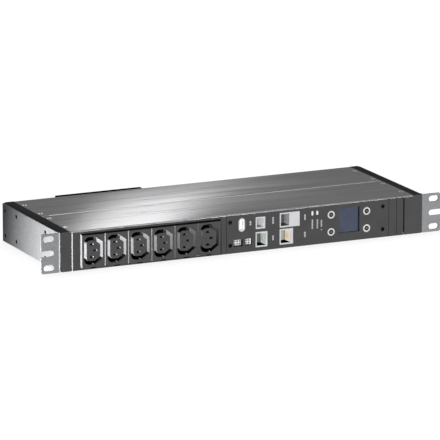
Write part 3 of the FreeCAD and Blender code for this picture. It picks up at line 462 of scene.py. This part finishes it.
SLOT_FINISHES: dict[str, Finish] = {
    "anodised_aluminium": ALUMINIUM,
    "cap_plastic": CAP_PLASTIC,
    "panel_plastic": PANEL_PLASTIC,
    "outlet_plastic": OUTLET_PLASTIC,
    "zinc_steel": STEEL,
    "bright_screw": BRIGHT_SCREW,
    "black_screw": BLACK_SCREW,
    "contact_brass": BRASS,
    "pin_brass": NICKEL,
    "circuit_board": BOARD,
    "display_glass": PANE,
    "display_panel": SCREEN,
    "switch_black": BLACK_PLASTIC,
    "button_dark": BUTTON_PLASTIC,
    "ring_pale": RING_PLASTIC,
    "port_pale": PORT_PLASTIC,
    "terminal_grey": TERMINAL_PLASTIC,
    "light_pipe": LENS,
    "inlet_black": INLET_PLASTIC,
    "lead_brown": BROWN_LEAD,
    "lead_blue": BLUE_LEAD,
    "lead_green": GREEN_LEAD,
    "grommet_rubber": RUBBER_AND_PAINTED_SHADE,
    "print_ink": INK,
}


def dress_nodes() -> None:
    """Gives every carried-over solid the finish of its slot."""
    for part in frame["record"]["subparts"]:
        node = frame["nodes"][part["node"]]
        finish = SLOT_FINISHES[part["material_slot"]]
        node.data.materials.clear()
        node.data.materials.append(finish.material())
        LOG.info("dressed %s with %s", part["node"], finish.name)


def add_block(bm: bmesh.types.BMesh, low: Vector, high: Vector, soften: float) -> None:
    """Adds a block between two corners in millimetres.

    Args:
        bm: Mesh that gets the block.
        low: Lowest corner.
        high: Highest corner.
        soften: Width of the bevel on its edges, in millimetres.
    """
    middle = (low + high) / 2 * MM
    size = (high - low) * MM
    shape = Matrix.Translation(middle) @ Matrix.Diagonal((*size, 1.0))
    verts = bmesh.ops.create_cube(bm, size=1.0, matrix=shape)["verts"]
    edges = list(dict.fromkeys(edge for vert in verts for edge in vert.link_edges))
    bmesh.ops.bevel(bm, geom=edges, offset=soften * MM, offset_type="OFFSET", segments=2, profile=0.5,
                    affect="EDGES", material=-1)


def make_piece(bm: bmesh.types.BMesh, name: str, body: Body, finish: Finish) -> bpy.types.Object:
    """Turns a mesh into a piece of the object.

    Args:
        bm: Finished mesh, in metres, in place.
        name: Name of the piece.
        body: Body that it rides on.
        finish: Its finish.

    Returns:
        The piece.
    """
    bmesh.ops.recalc_face_normals(bm, faces=bm.faces)
    mesh = bpy.data.meshes.new(name)
    bm.to_mesh(mesh)
    bm.free()
    mesh.materials.append(finish.material())
    piece = bpy.data.objects.new(name, mesh)
    bpy.context.scene.collection.objects.link(piece)
    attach(piece, body.value)
    LOG.info("made %s with %d faces", name, len(mesh.polygons))
    return piece


@dataclass(frozen=True)
class Ring:
    """One ring of a turned shape, in millimetres, and the share of its radius that its lobes stand out."""

    radius: float
    height: float
    lobes: float = 0.0


def add_turned(bm: bmesh.types.BMesh, rings: Sequence[Ring], place: Matrix, segments: int = 36) -> None:
    """Adds a closed shape turned about an axis, ring by ring from its back to its front.

    Args:
        bm: Mesh that gets the shape.
        rings: Rings in order, with heights along the axis.
        place: Where the axis goes, with its front along the local Z.
        segments: Corners of each ring.
    """
    back = bmesh.ops.create_circle(bm, cap_ends=True, segments=segments, radius=rings[0].radius * MM,
                                   matrix=Matrix.Translation((0.0, 0.0, rings[0].height * MM)))["verts"]
    made = list(back)
    edges = list(dict.fromkeys(edge for vert in back for edge in vert.link_edges))
    for ring in rings[1:]:
        grown = bmesh.ops.extrude_edge_only(bm, edges=edges)["geom"]
        verts = [item for item in grown if isinstance(item, bmesh.types.BMVert)]
        for vert in verts:
            angle = math.atan2(vert.co.y, vert.co.x)
            reach = ring.radius * (1 + ring.lobes * math.cos(LOBES * angle)) * MM
            vert.co = (reach * math.cos(angle), reach * math.sin(angle), ring.height * MM)
        edges = [item for item in grown
                 if isinstance(item, bmesh.types.BMEdge) and all(vert in verts for vert in item.verts)]
        made += verts
    bmesh.ops.contextual_create(bm, geom=edges)
    bmesh.ops.transform(bm, matrix=place, verts=made)


def seat(x: float, y: float, z: float, facing: Facing) -> Matrix:
    """Place of a turned shape whose front faces one way, from a point in millimetres.

    Args:
        x: Place along the front.
        y: Place from front to back.
        z: Height.
        facing: Way that the front faces.

    Returns:
        Matrix that takes the local Z to the facing.
    """
    turn = Vector(facing.value).to_track_quat("Z", "Y").to_matrix().to_4x4()
    return Matrix.Translation(Vector((x, y, z)) * MM) @ turn


def node_box(node: str) -> tuple[Vector, Vector]:
    """Lowest and highest corner of a solid at rest, in millimetres."""
    low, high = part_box(node)
    return Vector(low) / MM, Vector(high) / MM


@dataclass
class Fasteners:
    """Screw heads with six-lobe recesses, in millimetres."""

    top_z: float = 22.0
    top_x: float = 203.0
    top_y: tuple[float, ...] = (20.8, 65.7, 90.3, 135.2)
    top_head_d: float = 5.6
    top_neck_d: float = 2.8
    top_depth: float = 1.5
    top_recess: float = 1.2
    side_x: float = 220.0
    side_y: tuple[float, ...] = (37.5, 118.5, 150.5)
    side_z: float = 14.2
    side_head_d: float = 4.8
    side_neck_d: float = 2.6
    side_depth: float = 1.8
    side_recess: float = 1.26
    panel_x: tuple[float, ...] = (-17.1, 169.4)
    panel_z: float = 13.0
    panel_sink: float = 0.9
    panel_head_d: float = 4.4
    panel_head_h: float = 1.6
    panel_recess: float = 1.12
    panel_shank_d: float = 2.5
    panel_length: float = 19.3
    edge: float = 0.15
    drive_share: float = 0.26
    drive_edge: float = 0.08
    drive_edge_depth: float = 0.1
    lobe_share: float = 0.14
    wall_share: float = 0.8
    tip_share: float = 0.3

    def face(self, head_d: float, recess: float) -> list[Ring]:
        """Rings of a head's rim, flat face and recess.

        Args:
            head_d: Diameter of the head.
            recess: Depth of the recess.

        Returns:
            The rings from the rim to the middle of the recess.
        """
        outer, drive = head_d / 2, head_d * self.drive_share
        return [
            Ring(outer, -self.edge), Ring(outer - self.edge, 0.0),
            Ring(drive + self.drive_edge, 0.0, self.lobe_share),
            Ring(drive, -self.drive_edge_depth, self.lobe_share),
            Ring(drive, -recess * self.wall_share, self.lobe_share),
            Ring(drive * self.tip_share, -recess),
        ]

    def build_top(self) -> None:
        """Makes the bright screws in the top of the profiles."""
        bm = bmesh.new()
        rings = [Ring(self.top_neck_d / 2, -self.top_depth)]
        rings += self.face(self.top_head_d, self.top_recess)
        for x in (-self.top_x, self.top_x):
            for y in self.top_y:
                add_turned(bm, rings, seat(x, y, self.top_z, Facing.UP))
        piece = make_piece(bm, "profile_screw_heads", Body.CHASSIS, BRIGHT_SCREW)
        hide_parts("profile_screws")

    def build_sides(self) -> None:
        """Makes the black screws in the side plates."""
        bm = bmesh.new()
        rings = [Ring(self.side_neck_d / 2, -self.side_depth)]
        rings += self.face(self.side_head_d, self.side_recess)
        for way, facing in ((-1, Facing.LEFT), (1, Facing.RIGHT)):
            for y in self.side_y:
                for z in (-self.side_z, self.side_z):
                    add_turned(bm, rings, seat(way * self.side_x, y, z, facing))
        piece = make_piece(bm, "bracket_screw_heads", Body.CHASSIS, BLACK_SCREW)
        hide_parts("bracket_screws")

    def build_panel(self) -> None:
        """Makes the black screws sunk in the control panel."""
        bm = bmesh.new()
        shank = self.panel_shank_d / 2
        rings = [Ring(shank, -self.panel_length), Ring(shank, -self.panel_head_h),
                 Ring(self.panel_head_d / 2, -self.panel_head_h)]
        rings += self.face(self.panel_head_d, self.panel_recess)
        for x in self.panel_x:
            for z in (-self.panel_z, self.panel_z):
                add_turned(bm, rings, seat(x, FACE_Y + self.panel_sink, z, Facing.FRONT))
        piece = make_piece(bm, "panel_screw_heads", Body.CHASSIS, BLACK_SCREW)
        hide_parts("panel_screws")

    def build(self) -> None:
        """Makes every screw."""
        self.build_top()
        self.build_sides()
        self.build_panel()


@dataclass
class OutletTrim:
    """Small moulded details round the outlets, and black strips of painted shade in their gaps, in
    millimetres.
    """

    middle_z: float = -1.75
    face_height: float = 36.5
    top_gap: float = 1.3
    bottom_gap: float = 0.8
    clip_offset: float = 3.4
    clip_width: float = 1.3
    clip_edge: float = 0.1
    sill_gap: float = 5.5
    sill_length: float = 9.0
    setback: float = 0.2
    depth: float = 0.7
    side_gap: float = 3.6
    side_cover: float = 1.7
    # Black strips of painted shade: over the row of outlets, and a dash under each.
    shade_strip_proud: float = 0.1
    shade_strip_depth: float = 1.3
    shade_strip_lap: float = 0.5
    shade_strip_edge: float = 0.04
    dash_length: float = 6.2
    dash_height: float = 1.1
    nib_width: float = 1.1
    nib_height: float = 1.2
    nib_depth: float = 4.0
    nib_edge: float = 0.15
    well_height: float = 31.0

    def centres(self) -> list[float]:
        """Middle of each outlet along the front."""
        return [OUTLET_X + number * OUTLET_PITCH for number in range(OUTLET_COUNT)]

    def face_span(self) -> tuple[float, float]:
        """Heights of the bottom and the top of the outlets' faces."""
        return self.middle_z - self.face_height / 2, self.middle_z + self.face_height / 2

    def build_clips(self) -> None:
        """Makes the clips and sills across the gaps of the window, and the cover of its wide left gap."""
        bm = bmesh.new()
        bottom, top = self.face_span()
        front, back = FACE_Y + self.setback, FACE_Y + self.setback + self.depth
        roof, base = top + self.top_gap, bottom - self.bottom_gap
        for x in self.centres():
            for way in (-1, 1):
                near = x + way * self.clip_offset
                add_block(bm, Vector((near - self.clip_width / 2, front, top)),
                          Vector((near + self.clip_width / 2, back, roof)), self.clip_edge)
                inner = x + way * self.sill_gap / 2
                start, end = sorted((inner, inner + way * self.sill_length))
                add_block(bm, Vector((start, front, base)), Vector((end, back, bottom)), self.clip_edge)
        left = node_box("outlet_1")[0].x - self.side_gap
        add_block(bm, Vector((left, front, base)), Vector((left + self.side_cover, back, roof)),
                  self.clip_edge)
        make_piece(bm, "outlet_clips", Body.CHASSIS, PANEL_PLASTIC)

    def build_shade_strips(self) -> None:
        """Makes the black strip of painted shade over the row, a lip and a web, and the black dash of painted
        shade under each outlet.
        """
        bm = bmesh.new()
        bottom, top = self.face_span()
        left, right = node_box("outlet_1")[0].x, node_box(f"outlet_{OUTLET_COUNT}")[1].x
        front, roof = FACE_Y - self.shade_strip_proud, top + self.top_gap
        add_block(bm, Vector((left, front, top - self.shade_strip_lap)),
                  Vector((right, FACE_Y, roof + self.shade_strip_lap)), self.shade_strip_edge)
        add_block(bm, Vector((left, FACE_Y, top)),
                  Vector((right, FACE_Y + self.shade_strip_depth, roof)), self.shade_strip_edge)
        for x in self.centres():
            add_block(bm, Vector((x - self.dash_length / 2, front, bottom - self.dash_height)),
                      Vector((x + self.dash_length / 2, FACE_Y, bottom)), self.shade_strip_edge)
        make_piece(bm, "outlet_shade_strips", Body.CHASSIS, RUBBER_AND_PAINTED_SHADE)

    def build_nibs(self) -> None:
        """Makes the rib in the bottom of each outlet's groove."""
        bm = bmesh.new()
        floor = self.middle_z - self.well_height / 2
        front, back = FACE_Y + self.setback, FACE_Y + self.nib_depth
        for x in self.centres():
            add_block(bm, Vector((x - self.nib_width / 2, front, floor)),
                      Vector((x + self.nib_width / 2, back, floor + self.nib_height)), self.nib_edge)
        make_piece(bm, "outlet_nibs", Body.CHASSIS, GREY_LINER)

    def build(self) -> None:
        """Makes every detail."""
        self.build_clips()
        self.build_shade_strips()
        self.build_nibs()


@dataclass(frozen=True)
class Insert:
    """Finish and material slot of one insert of a jack."""

    finish: Finish
    slot: str


# The green, cream and blue-grey inserts carry painted reflections of the contacts; the dark grey inserts are
# painted shade, and the black ones painted shadow.
GREY_INSERT = Insert(GREY_LINER, "port_pale")
GREEN_INSERT = Insert(GREEN_REFLECTION_LINER, "liner_green")
BLUE_INSERT = Insert(BLUE_REFLECTION_LINER, "liner_blue")
CREAM_INSERT = Insert(CREAM_REFLECTION_LINER, "liner_cream")
PAINTED_SHADE_INSERT = Insert(PAINTED_SHADE_LINER, "switch_black")
PAINTED_SHADOW_INSERT = Insert(PAINTED_SHADOW_LINER, "liner_black")
NICKEL_INSERT = Insert(NICKEL, "pin_brass")
BRASS_INSERT = Insert(BRASS, "contact_brass")


@dataclass(frozen=True)
class Jack:
    """One modular jack: its solid, the width of its right wall in millimetres, and its inserts."""

    node: str
    right_wall: float
    liner: Insert
    plate: Insert
    floor: Insert
    contacts: Insert


JACKS = (
    Jack("sensor_port", 2.0, GREY_INSERT, GREY_INSERT, GREY_INSERT, NICKEL_INSERT),
    Jack("bus_port", 2.0, GREEN_INSERT, PAINTED_SHADE_INSERT, PAINTED_SHADOW_INSERT, NICKEL_INSERT),
    Jack("network_port", 12.6, BLUE_INSERT, PAINTED_SHADE_INSERT, PAINTED_SHADE_INSERT, NICKEL_INSERT),
    Jack("link_port", 3.2, CREAM_INSERT, GREEN_INSERT, PAINTED_SHADOW_INSERT, BRASS_INSERT),
)


@dataclass
class PortInserts:
    """Liners, back plates, floors and spring contacts in the jacks, in millimetres. The tints of the liners
    are painted reflections of the contacts, and the dark back plates and floors are painted shade and shadow.
    """

    left_wall: float = 1.4
    rim: float = 1.6
    depth: float = 14.0
    setback: float = 0.5
    liner_t: float = 0.3
    floor_t: float = 0.25
    plate_t: float = 1.0
    edge: float = 0.08
    contact_count: int = 8
    contact_pitch: float = 1.02
    contact_size: Point = (0.2, 8.5, 0.22)
    contact_stand: float = 0.5
    contact_edge: float = 0.05

    def build_jack(self, jack: Jack) -> None:
        """Makes the liner, the back plate, the floor and the contacts of one jack.

        Args:
            jack: The jack that gets them.
        """
        low, high = node_box(jack.node)
        left, right = low.x + self.left_wall, high.x - jack.right_wall
        bottom, top = low.z + self.rim, high.z - self.rim
        front, back = low.y + self.setback, low.y + self.depth
        inner, stop = right - self.liner_t, back - self.plate_t
        walls = (
            ("liner", jack.liner, Vector((inner, front, bottom)), Vector((right, back, top))),
            ("back_plate", jack.plate, Vector((left, stop, bottom)), Vector((inner, back, top))),
            ("floor", jack.floor, Vector((left, front, bottom)),
             Vector((inner, stop, bottom + self.floor_t))),
        )
        for kind, insert, near, far in walls:
            bm = bmesh.new()
            add_block(bm, near, far, self.edge)
            make_piece(bm, f"{jack.node}_{kind}", Body.CHASSIS, insert.finish)
        bm = bmesh.new()
        half = Vector(self.contact_size) / 2
        for number in range(self.contact_count):
            z = (bottom + top) / 2 + (number - (self.contact_count - 1) / 2) * self.contact_pitch
            middle = Vector((inner - self.contact_stand, stop - half.y, z))
            add_block(bm, middle - half, middle + half, self.contact_edge)
        make_piece(bm, f"{jack.node}_contacts", Body.CHASSIS, jack.contacts.finish)

    def build(self) -> None:
        """Makes the inserts of every jack."""
        for jack in JACKS:
            self.build_jack(jack)


@dataclass(frozen=True)
class Mark:
    """One upright mark of the print: its middle and size in millimetres, and the number of dashes in it."""

    x: float
    z: float
    width: float
    height: float
    dashes: int


@dataclass
class PanelPrint:
    """Pale upright bars printed on the control panel, in millimetres."""

    marks: tuple[Mark, ...] = (
        Mark(7.3, 10.0, 1.9, 4.6, 2), Mark(34.8, 10.4, 1.9, 7.4, 4), Mark(34.7, -9.3, 1.9, 5.2, 3),
        Mark(73.6, 10.2, 1.9, 6.2, 3), Mark(73.6, -9.3, 1.9, 5.8, 3), Mark(82.7, 1.3, 1.7, 10.6, 5),
        Mark(88.8, 1.1, 1.7, 10.0, 5), Mark(93.8, 1.2, 1.7, 7.5, 4), Mark(93.9, -6.0, 1.2, 1.2, 1))
    gap: float = 0.4
    proud: float = 0.05
    sunk: float = 0.01
    edge: float = 0.02

    def build(self) -> None:
        """Makes every bar of the print."""
        bm = bmesh.new()
        for mark in self.marks:
            length = (mark.height - (mark.dashes - 1) * self.gap) / mark.dashes
            for number in range(mark.dashes):
                low = mark.z - mark.height / 2 + number * (length + self.gap)
                add_block(bm, Vector((mark.x - mark.width / 2, FACE_Y - self.proud, low)),
                          Vector((mark.x + mark.width / 2, FACE_Y + self.sunk, low + length)), self.edge)
        make_piece(bm, "panel_print", Body.CHASSIS, INK)


@dataclass
class JointHighlightStrip:
    """Pale strip of painted highlight just below the top in the groove between the two profiles, in
    millimetres.
    """

    y: float = 78.0
    width: float = 2.2
    thickness: float = 0.3
    setback: float = 0.03
    inset: float = 9.0
    edge: float = 0.1

    def build(self) -> None:
        """Makes the strip, which stops short of the caps."""
        low, high = node_box("front_profile")
        top = high.z - self.setback
        bm = bmesh.new()
        add_block(bm, Vector((low.x + self.inset, self.y - self.width / 2, top - self.thickness)),
                  Vector((high.x - self.inset, self.y + self.width / 2, top)), self.edge)
        make_piece(bm, "joint_highlight_strip", Body.CHASSIS, HIGHLIGHT_STRIP)


@dataclass
class ButtonPips:
    """Raised spot in the middle of each button, which moves with it, in millimetres."""

    radius: float = 1.25
    sunk: float = 0.05
    wall: float = 0.05
    shoulder: float = 0.16
    rise: float = 0.2
    edge: float = 0.3

    def build(self) -> None:
        """Makes the spot of every button."""
        rings = [Ring(self.radius, -self.sunk), Ring(self.radius, self.wall),
                 Ring(self.radius - self.edge / 2, self.shoulder), Ring(self.radius - self.edge, self.rise)]
        for number, body in enumerate((Body.BUTTON_1, Body.BUTTON_2, Body.BUTTON_3, Body.BUTTON_4), start=1):
            low, high = node_box(f"button_{number}")
            bm = bmesh.new()
            add_turned(bm, rings, seat((low.x + high.x) / 2, low.y, (low.z + high.z) / 2, Facing.FRONT))
            make_piece(bm, f"button_{number}_pip", body, PIP_PLASTIC)


@dataclass(frozen=True)
class Lamp:
    """Plain part of every lamp, in metres and watts. It lights everything, or only what it names."""

    name: str
    place: Point
    power: float
    aim: Point = (0.0, 0.05, 0.0)
    lit: tuple[str, ...] = ()

    def light(self) -> bpy.types.Light:
        """Makes the light of the lamp, without its power."""
        raise NotImplementedError

    def stand(self) -> None:
        """Stands the lamp in the studio, turned to its aim and out of the camera's sight."""
        data = self.light()
        data.energy = self.power
        lamp = bpy.data.objects.new(self.name, data)
        bpy.context.scene.collection.objects.link(lamp)
        place = Vector(self.place)
        turn = (Vector(self.aim) - place).to_track_quat("-Z", "Y").to_matrix().to_4x4()
        lamp.matrix_world = Matrix.Translation(place) @ turn
        lamp.visible_camera = False
        if self.lit:
            receivers = bpy.data.collections.new(self.name)
            for name in self.lit:
                receivers.objects.link(frame["nodes"].get(name) or bpy.data.objects[name])
            lamp.light_linking.receiver_collection = receivers


@dataclass(frozen=True)
class SoftBox(Lamp):
    """Soft box, with its width and height, and the angle in degrees over which it shines."""

    size: tuple[float, float] = (1.0, 1.0)
    spread: float = 180.0

    def light(self) -> bpy.types.Light:
        """Makes a rectangle that glows.

        Returns:
            The light.
        """
        data = bpy.data.lights.new(self.name, "AREA")
        data.shape = "RECTANGLE"
        data.size, data.size_y = self.size
        data.spread = math.radians(self.spread)
        return data


@dataclass(frozen=True)
class Bulb(Lamp):
    """Small bulb that casts no shadow and picks out the faces turned to it."""

    radius: float = 0.002

    def light(self) -> bpy.types.Light:
        """Makes a small ball that glows.

        Returns:
            The light.
        """
        data = bpy.data.lights.new(self.name, "POINT")
        data.shadow_soft_size = self.radius
        data.use_shadow = False
        return data


@dataclass(frozen=True)
class Spot(Lamp):
    """Spot that casts no shadow and fades from the middle of its cone, in degrees, to the rim."""

    cone: float = 45.0
    fade: float = 1.0
    radius: float = 0.002

    def light(self) -> bpy.types.Light:
        """Makes a cone of light.

        Returns:
            The light.
        """
        data = bpy.data.lights.new(self.name, "SPOT")
        data.spot_size = math.radians(self.cone)
        data.spot_blend = self.fade
        data.shadow_soft_size = self.radius
        data.use_shadow = False
        return data


BRACKETS = ("left_bracket", "right_bracket")
OUTLETS = tuple(f"outlet_{number}" for number in range(1, OUTLET_COUNT + 1)) + ("outlet_panel",)
PORTS = ("usb_port",) + tuple(jack.node for jack in JACKS) + tuple(
    f"{jack.node}_{kind}" for jack in JACKS for kind in ("liner", "back_plate", "contacts"))
REAR = ("rear_panel", "power_inlet", "inlet_housing", "inlet_pins")

LAMPS: tuple[Lamp, ...] = (
    # Side plates, bright at the front and falling off to the rear, and the folds into the ears.
    Spot("plate_spot", (-0.62, 0.005, -0.005), 8.0, (-0.22, 0.005, -0.03), BRACKETS, cone=44.0),
    Bulb("plate_bulb", (-0.285, 0.012, -0.015), 0.24, lit=BRACKETS),
    # Lip along the front of the top.
    Bulb("lip_bulb", (0.5, -1.2, -0.3), 12.0, lit=("front_profile",)),
    Bulb("fold_bulb", (-0.17, -0.0012, 0.0), 0.3, lit=BRACKETS),
    # Walls of the outlets and the jacks that are turned to the left.
    Spot("outlet_spot", (-0.934, 0.003, -0.82), 900.0, (-0.36, 0.003, 0.0), OUTLETS, cone=27.2),
    Bulb("port_bulb", (-0.08, 0.003, -0.03), 0.5, lit=PORTS),
    # Plain light on the front and the top.
    SoftBox("front_fill", (0.35, -2.6, 0.04), 61.0, size=(1.4, 0.1)),
    SoftBox("overhead", (0.5, -0.35, 1.35), 4.0, (-0.02, 0.0, 0.022), size=(0.7, 0.3)),
    # Highlight that runs over the left half of the top, and the bright joint in it, where a pale strip paints
    # the highlight.
    SoftBox("back_light", (0.024, 0.46, 0.202), 0.084, (-0.12, 0.06, 0.022), size=(0.11, 0.04), spread=76.0),
    SoftBox("joint_highlight_light", (-0.3, -0.2, 0.5), 2.5, (-0.2, 0.078, 0.022), ("joint_highlight_strip",), size=(0.2, 0.1)),
    # Plain light on the right end and the rear.
    SoftBox("right_fill", (2.6, 0.35, 0.06), 40.0, size=(0.9, 0.12)),
    SoftBox("rear_fill", (0.05, 2.6, 0.25), 45.0, lit=REAR, size=(1.2, 0.3)),
    # High light on the floor alone, in which the object leaves a soft shadow.
    SoftBox("floor_light", (1.0, 7.0, 20.0), 5600.0, lit=("floor",), size=(20.0, 20.0)),
)


@dataclass
class Studio:
    """Camera, lamps, floor and background, in metres and degrees."""

    yaw: float = 24.95
    pitch: float = 13.29
    distance: float = 5.511
    focal_px: float = 4975.0
    frame_px: float = 440.0
    sensor_mm: float = 36.0
    shift_px: tuple[float, float] = (-6.2, -2.4)
    target: Point = (0.0, 0.078, 0.0)
    sight: float = 100.0
    world_level: float = 0.08
    floor_z: float = -0.022
    floor_radius: float = 9.0
    floor_sides: int = 64
    floor_roughness: float = 0.9
    floor_bounce: float = 0.03
    floor_glow: float = 0.8

    def axes(self) -> tuple[Vector, Vector, Vector]:
        """Works out the camera's own directions.

        Returns:
            Directions to the right, up and forward of the camera.
        """
        yaw, pitch = math.radians(self.yaw), math.radians(self.pitch)
        level = math.cos(pitch)
        forward = Vector((math.sin(yaw) * level, math.cos(yaw) * level, -math.sin(pitch)))
        right = Vector((math.cos(yaw), -math.sin(yaw), 0.0))
        return right, right.cross(forward), forward

    def add_camera(self) -> None:
        """Adds the camera at the photograph's viewing angle."""
        right, up, forward = self.axes()
        per_px = self.distance / self.focal_px
        middle = Vector(self.target) - right * self.shift_px[0] * per_px + up * self.shift_px[1] * per_px
        data = bpy.data.cameras.new("camera")
        data.sensor_width = self.sensor_mm
        data.lens = self.focal_px * self.sensor_mm / self.frame_px
        data.clip_end = self.sight
        camera = bpy.data.objects.new("camera", data)
        bpy.context.scene.collection.objects.link(camera)
        turn = Matrix((right, up, -forward)).transposed().to_4x4()
        camera.matrix_world = Matrix.Translation(middle - forward * self.distance) @ turn
        bpy.context.scene.camera = camera

    def add_lamps(self) -> None:
        """Stands every lamp in the studio."""
        for lamp in LAMPS:
            lamp.stand()

    def background(self, tree: bpy.types.NodeTree) -> bpy.types.NodeSocket:
        """Light path test that is one for what shows the background.

        Args:
            tree: Node tree that gets the nodes.

        Returns:
            Socket that is one for camera, glossy and transmission rays.
        """
        path = add_node(tree, "ShaderNodeLightPath")
        seen = add_node(tree, "ShaderNodeMath", {"operation": "MAXIMUM"}, {
            0: path.outputs["Is Camera Ray"], 1: path.outputs["Is Glossy Ray"]})
        both = add_node(tree, "ShaderNodeMath", {"operation": "MAXIMUM"}, {
            0: seen.outputs[0], 1: path.outputs["Is Transmission Ray"]})
        return both.outputs[0]

    def set_world(self) -> None:
        """Sets a white background and a softer light from all round."""
        world = bpy.data.worlds.new("studio")
        world.use_nodes = True
        bpy.context.scene.world = world
        tree = world.node_tree
        level = add_node(tree, "ShaderNodeMapRange", {}, {
            "Value": self.background(tree), "To Min": self.world_level, "To Max": 1.0})
        tree.links.new(level.outputs[0], tree.nodes["Background"].inputs["Strength"])
        tree.nodes["Background"].inputs["Color"].default_value = WHITE

    def floor_material(self) -> bpy.types.Material:
        """Makes white paper that keeps a shadow and throws little light back on the object.

        Returns:
            The material of the floor.
        """
        material = bpy.data.materials.new("Paper sweep, white")
        material.use_nodes = True
        tree = material.node_tree
        shader = tree.nodes["Principled BSDF"]
        level = add_node(tree, "ShaderNodeMapRange", {}, {
            "Value": self.background(tree), "To Min": self.floor_bounce, "To Max": 1.0})
        tree.links.new(level.outputs[0], shader.inputs["Base Color"])
        shader.inputs["Roughness"].default_value = self.floor_roughness
        shader.inputs["Specular IOR Level"].default_value = 0.0
        glow = add_node(tree, "ShaderNodeEmission", {}, {"Color": WHITE, "Strength": 1.0})
        share = add_node(tree, "ShaderNodeMath", {"operation": "MULTIPLY"}, {
            0: self.background(tree), 1: self.floor_glow})
        mix = add_node(tree, "ShaderNodeMixShader", {}, {
            0: share.outputs[0], 1: shader.outputs[0], 2: glow.outputs[0]})
        tree.links.new(mix.outputs[0], tree.nodes["Material Output"].inputs["Surface"])
        return material

    def add_floor(self) -> None:
        """Adds the pale floor that the object stands on."""
        bm = bmesh.new()
        bmesh.ops.create_circle(bm, cap_ends=True, segments=self.floor_sides, radius=self.floor_radius,
                                matrix=Matrix.Translation((0.0, 0.0, self.floor_z)))
        mesh = bpy.data.meshes.new("floor")
        bm.to_mesh(mesh)
        bm.free()
        mesh.materials.append(self.floor_material())
        floor = bpy.data.objects.new("floor", mesh)
        bpy.context.scene.collection.objects.link(floor)

    def build(self) -> None:
        """Sets up everything round the object, with the floor before the lamp that lights it."""
        bpy.context.scene.view_settings.view_transform = "Standard"
        self.add_camera()
        self.add_floor()
        self.add_lamps()
        self.set_world()
        LOG.info("studio ready")


def main() -> None:
    """Builds every sub-assembly in order."""
    logging.basicConfig(level=logging.INFO, format="%(message)s")
    dress_nodes()
    for assembly in (Fasteners(), JointHighlightStrip(), OutletTrim(), PortInserts(), PanelPrint(), ButtonPips()):
        assembly.build()
        LOG.info("built %s", type(assembly).__name__)
    Studio().build()


if __name__ == "__main__":
    main()
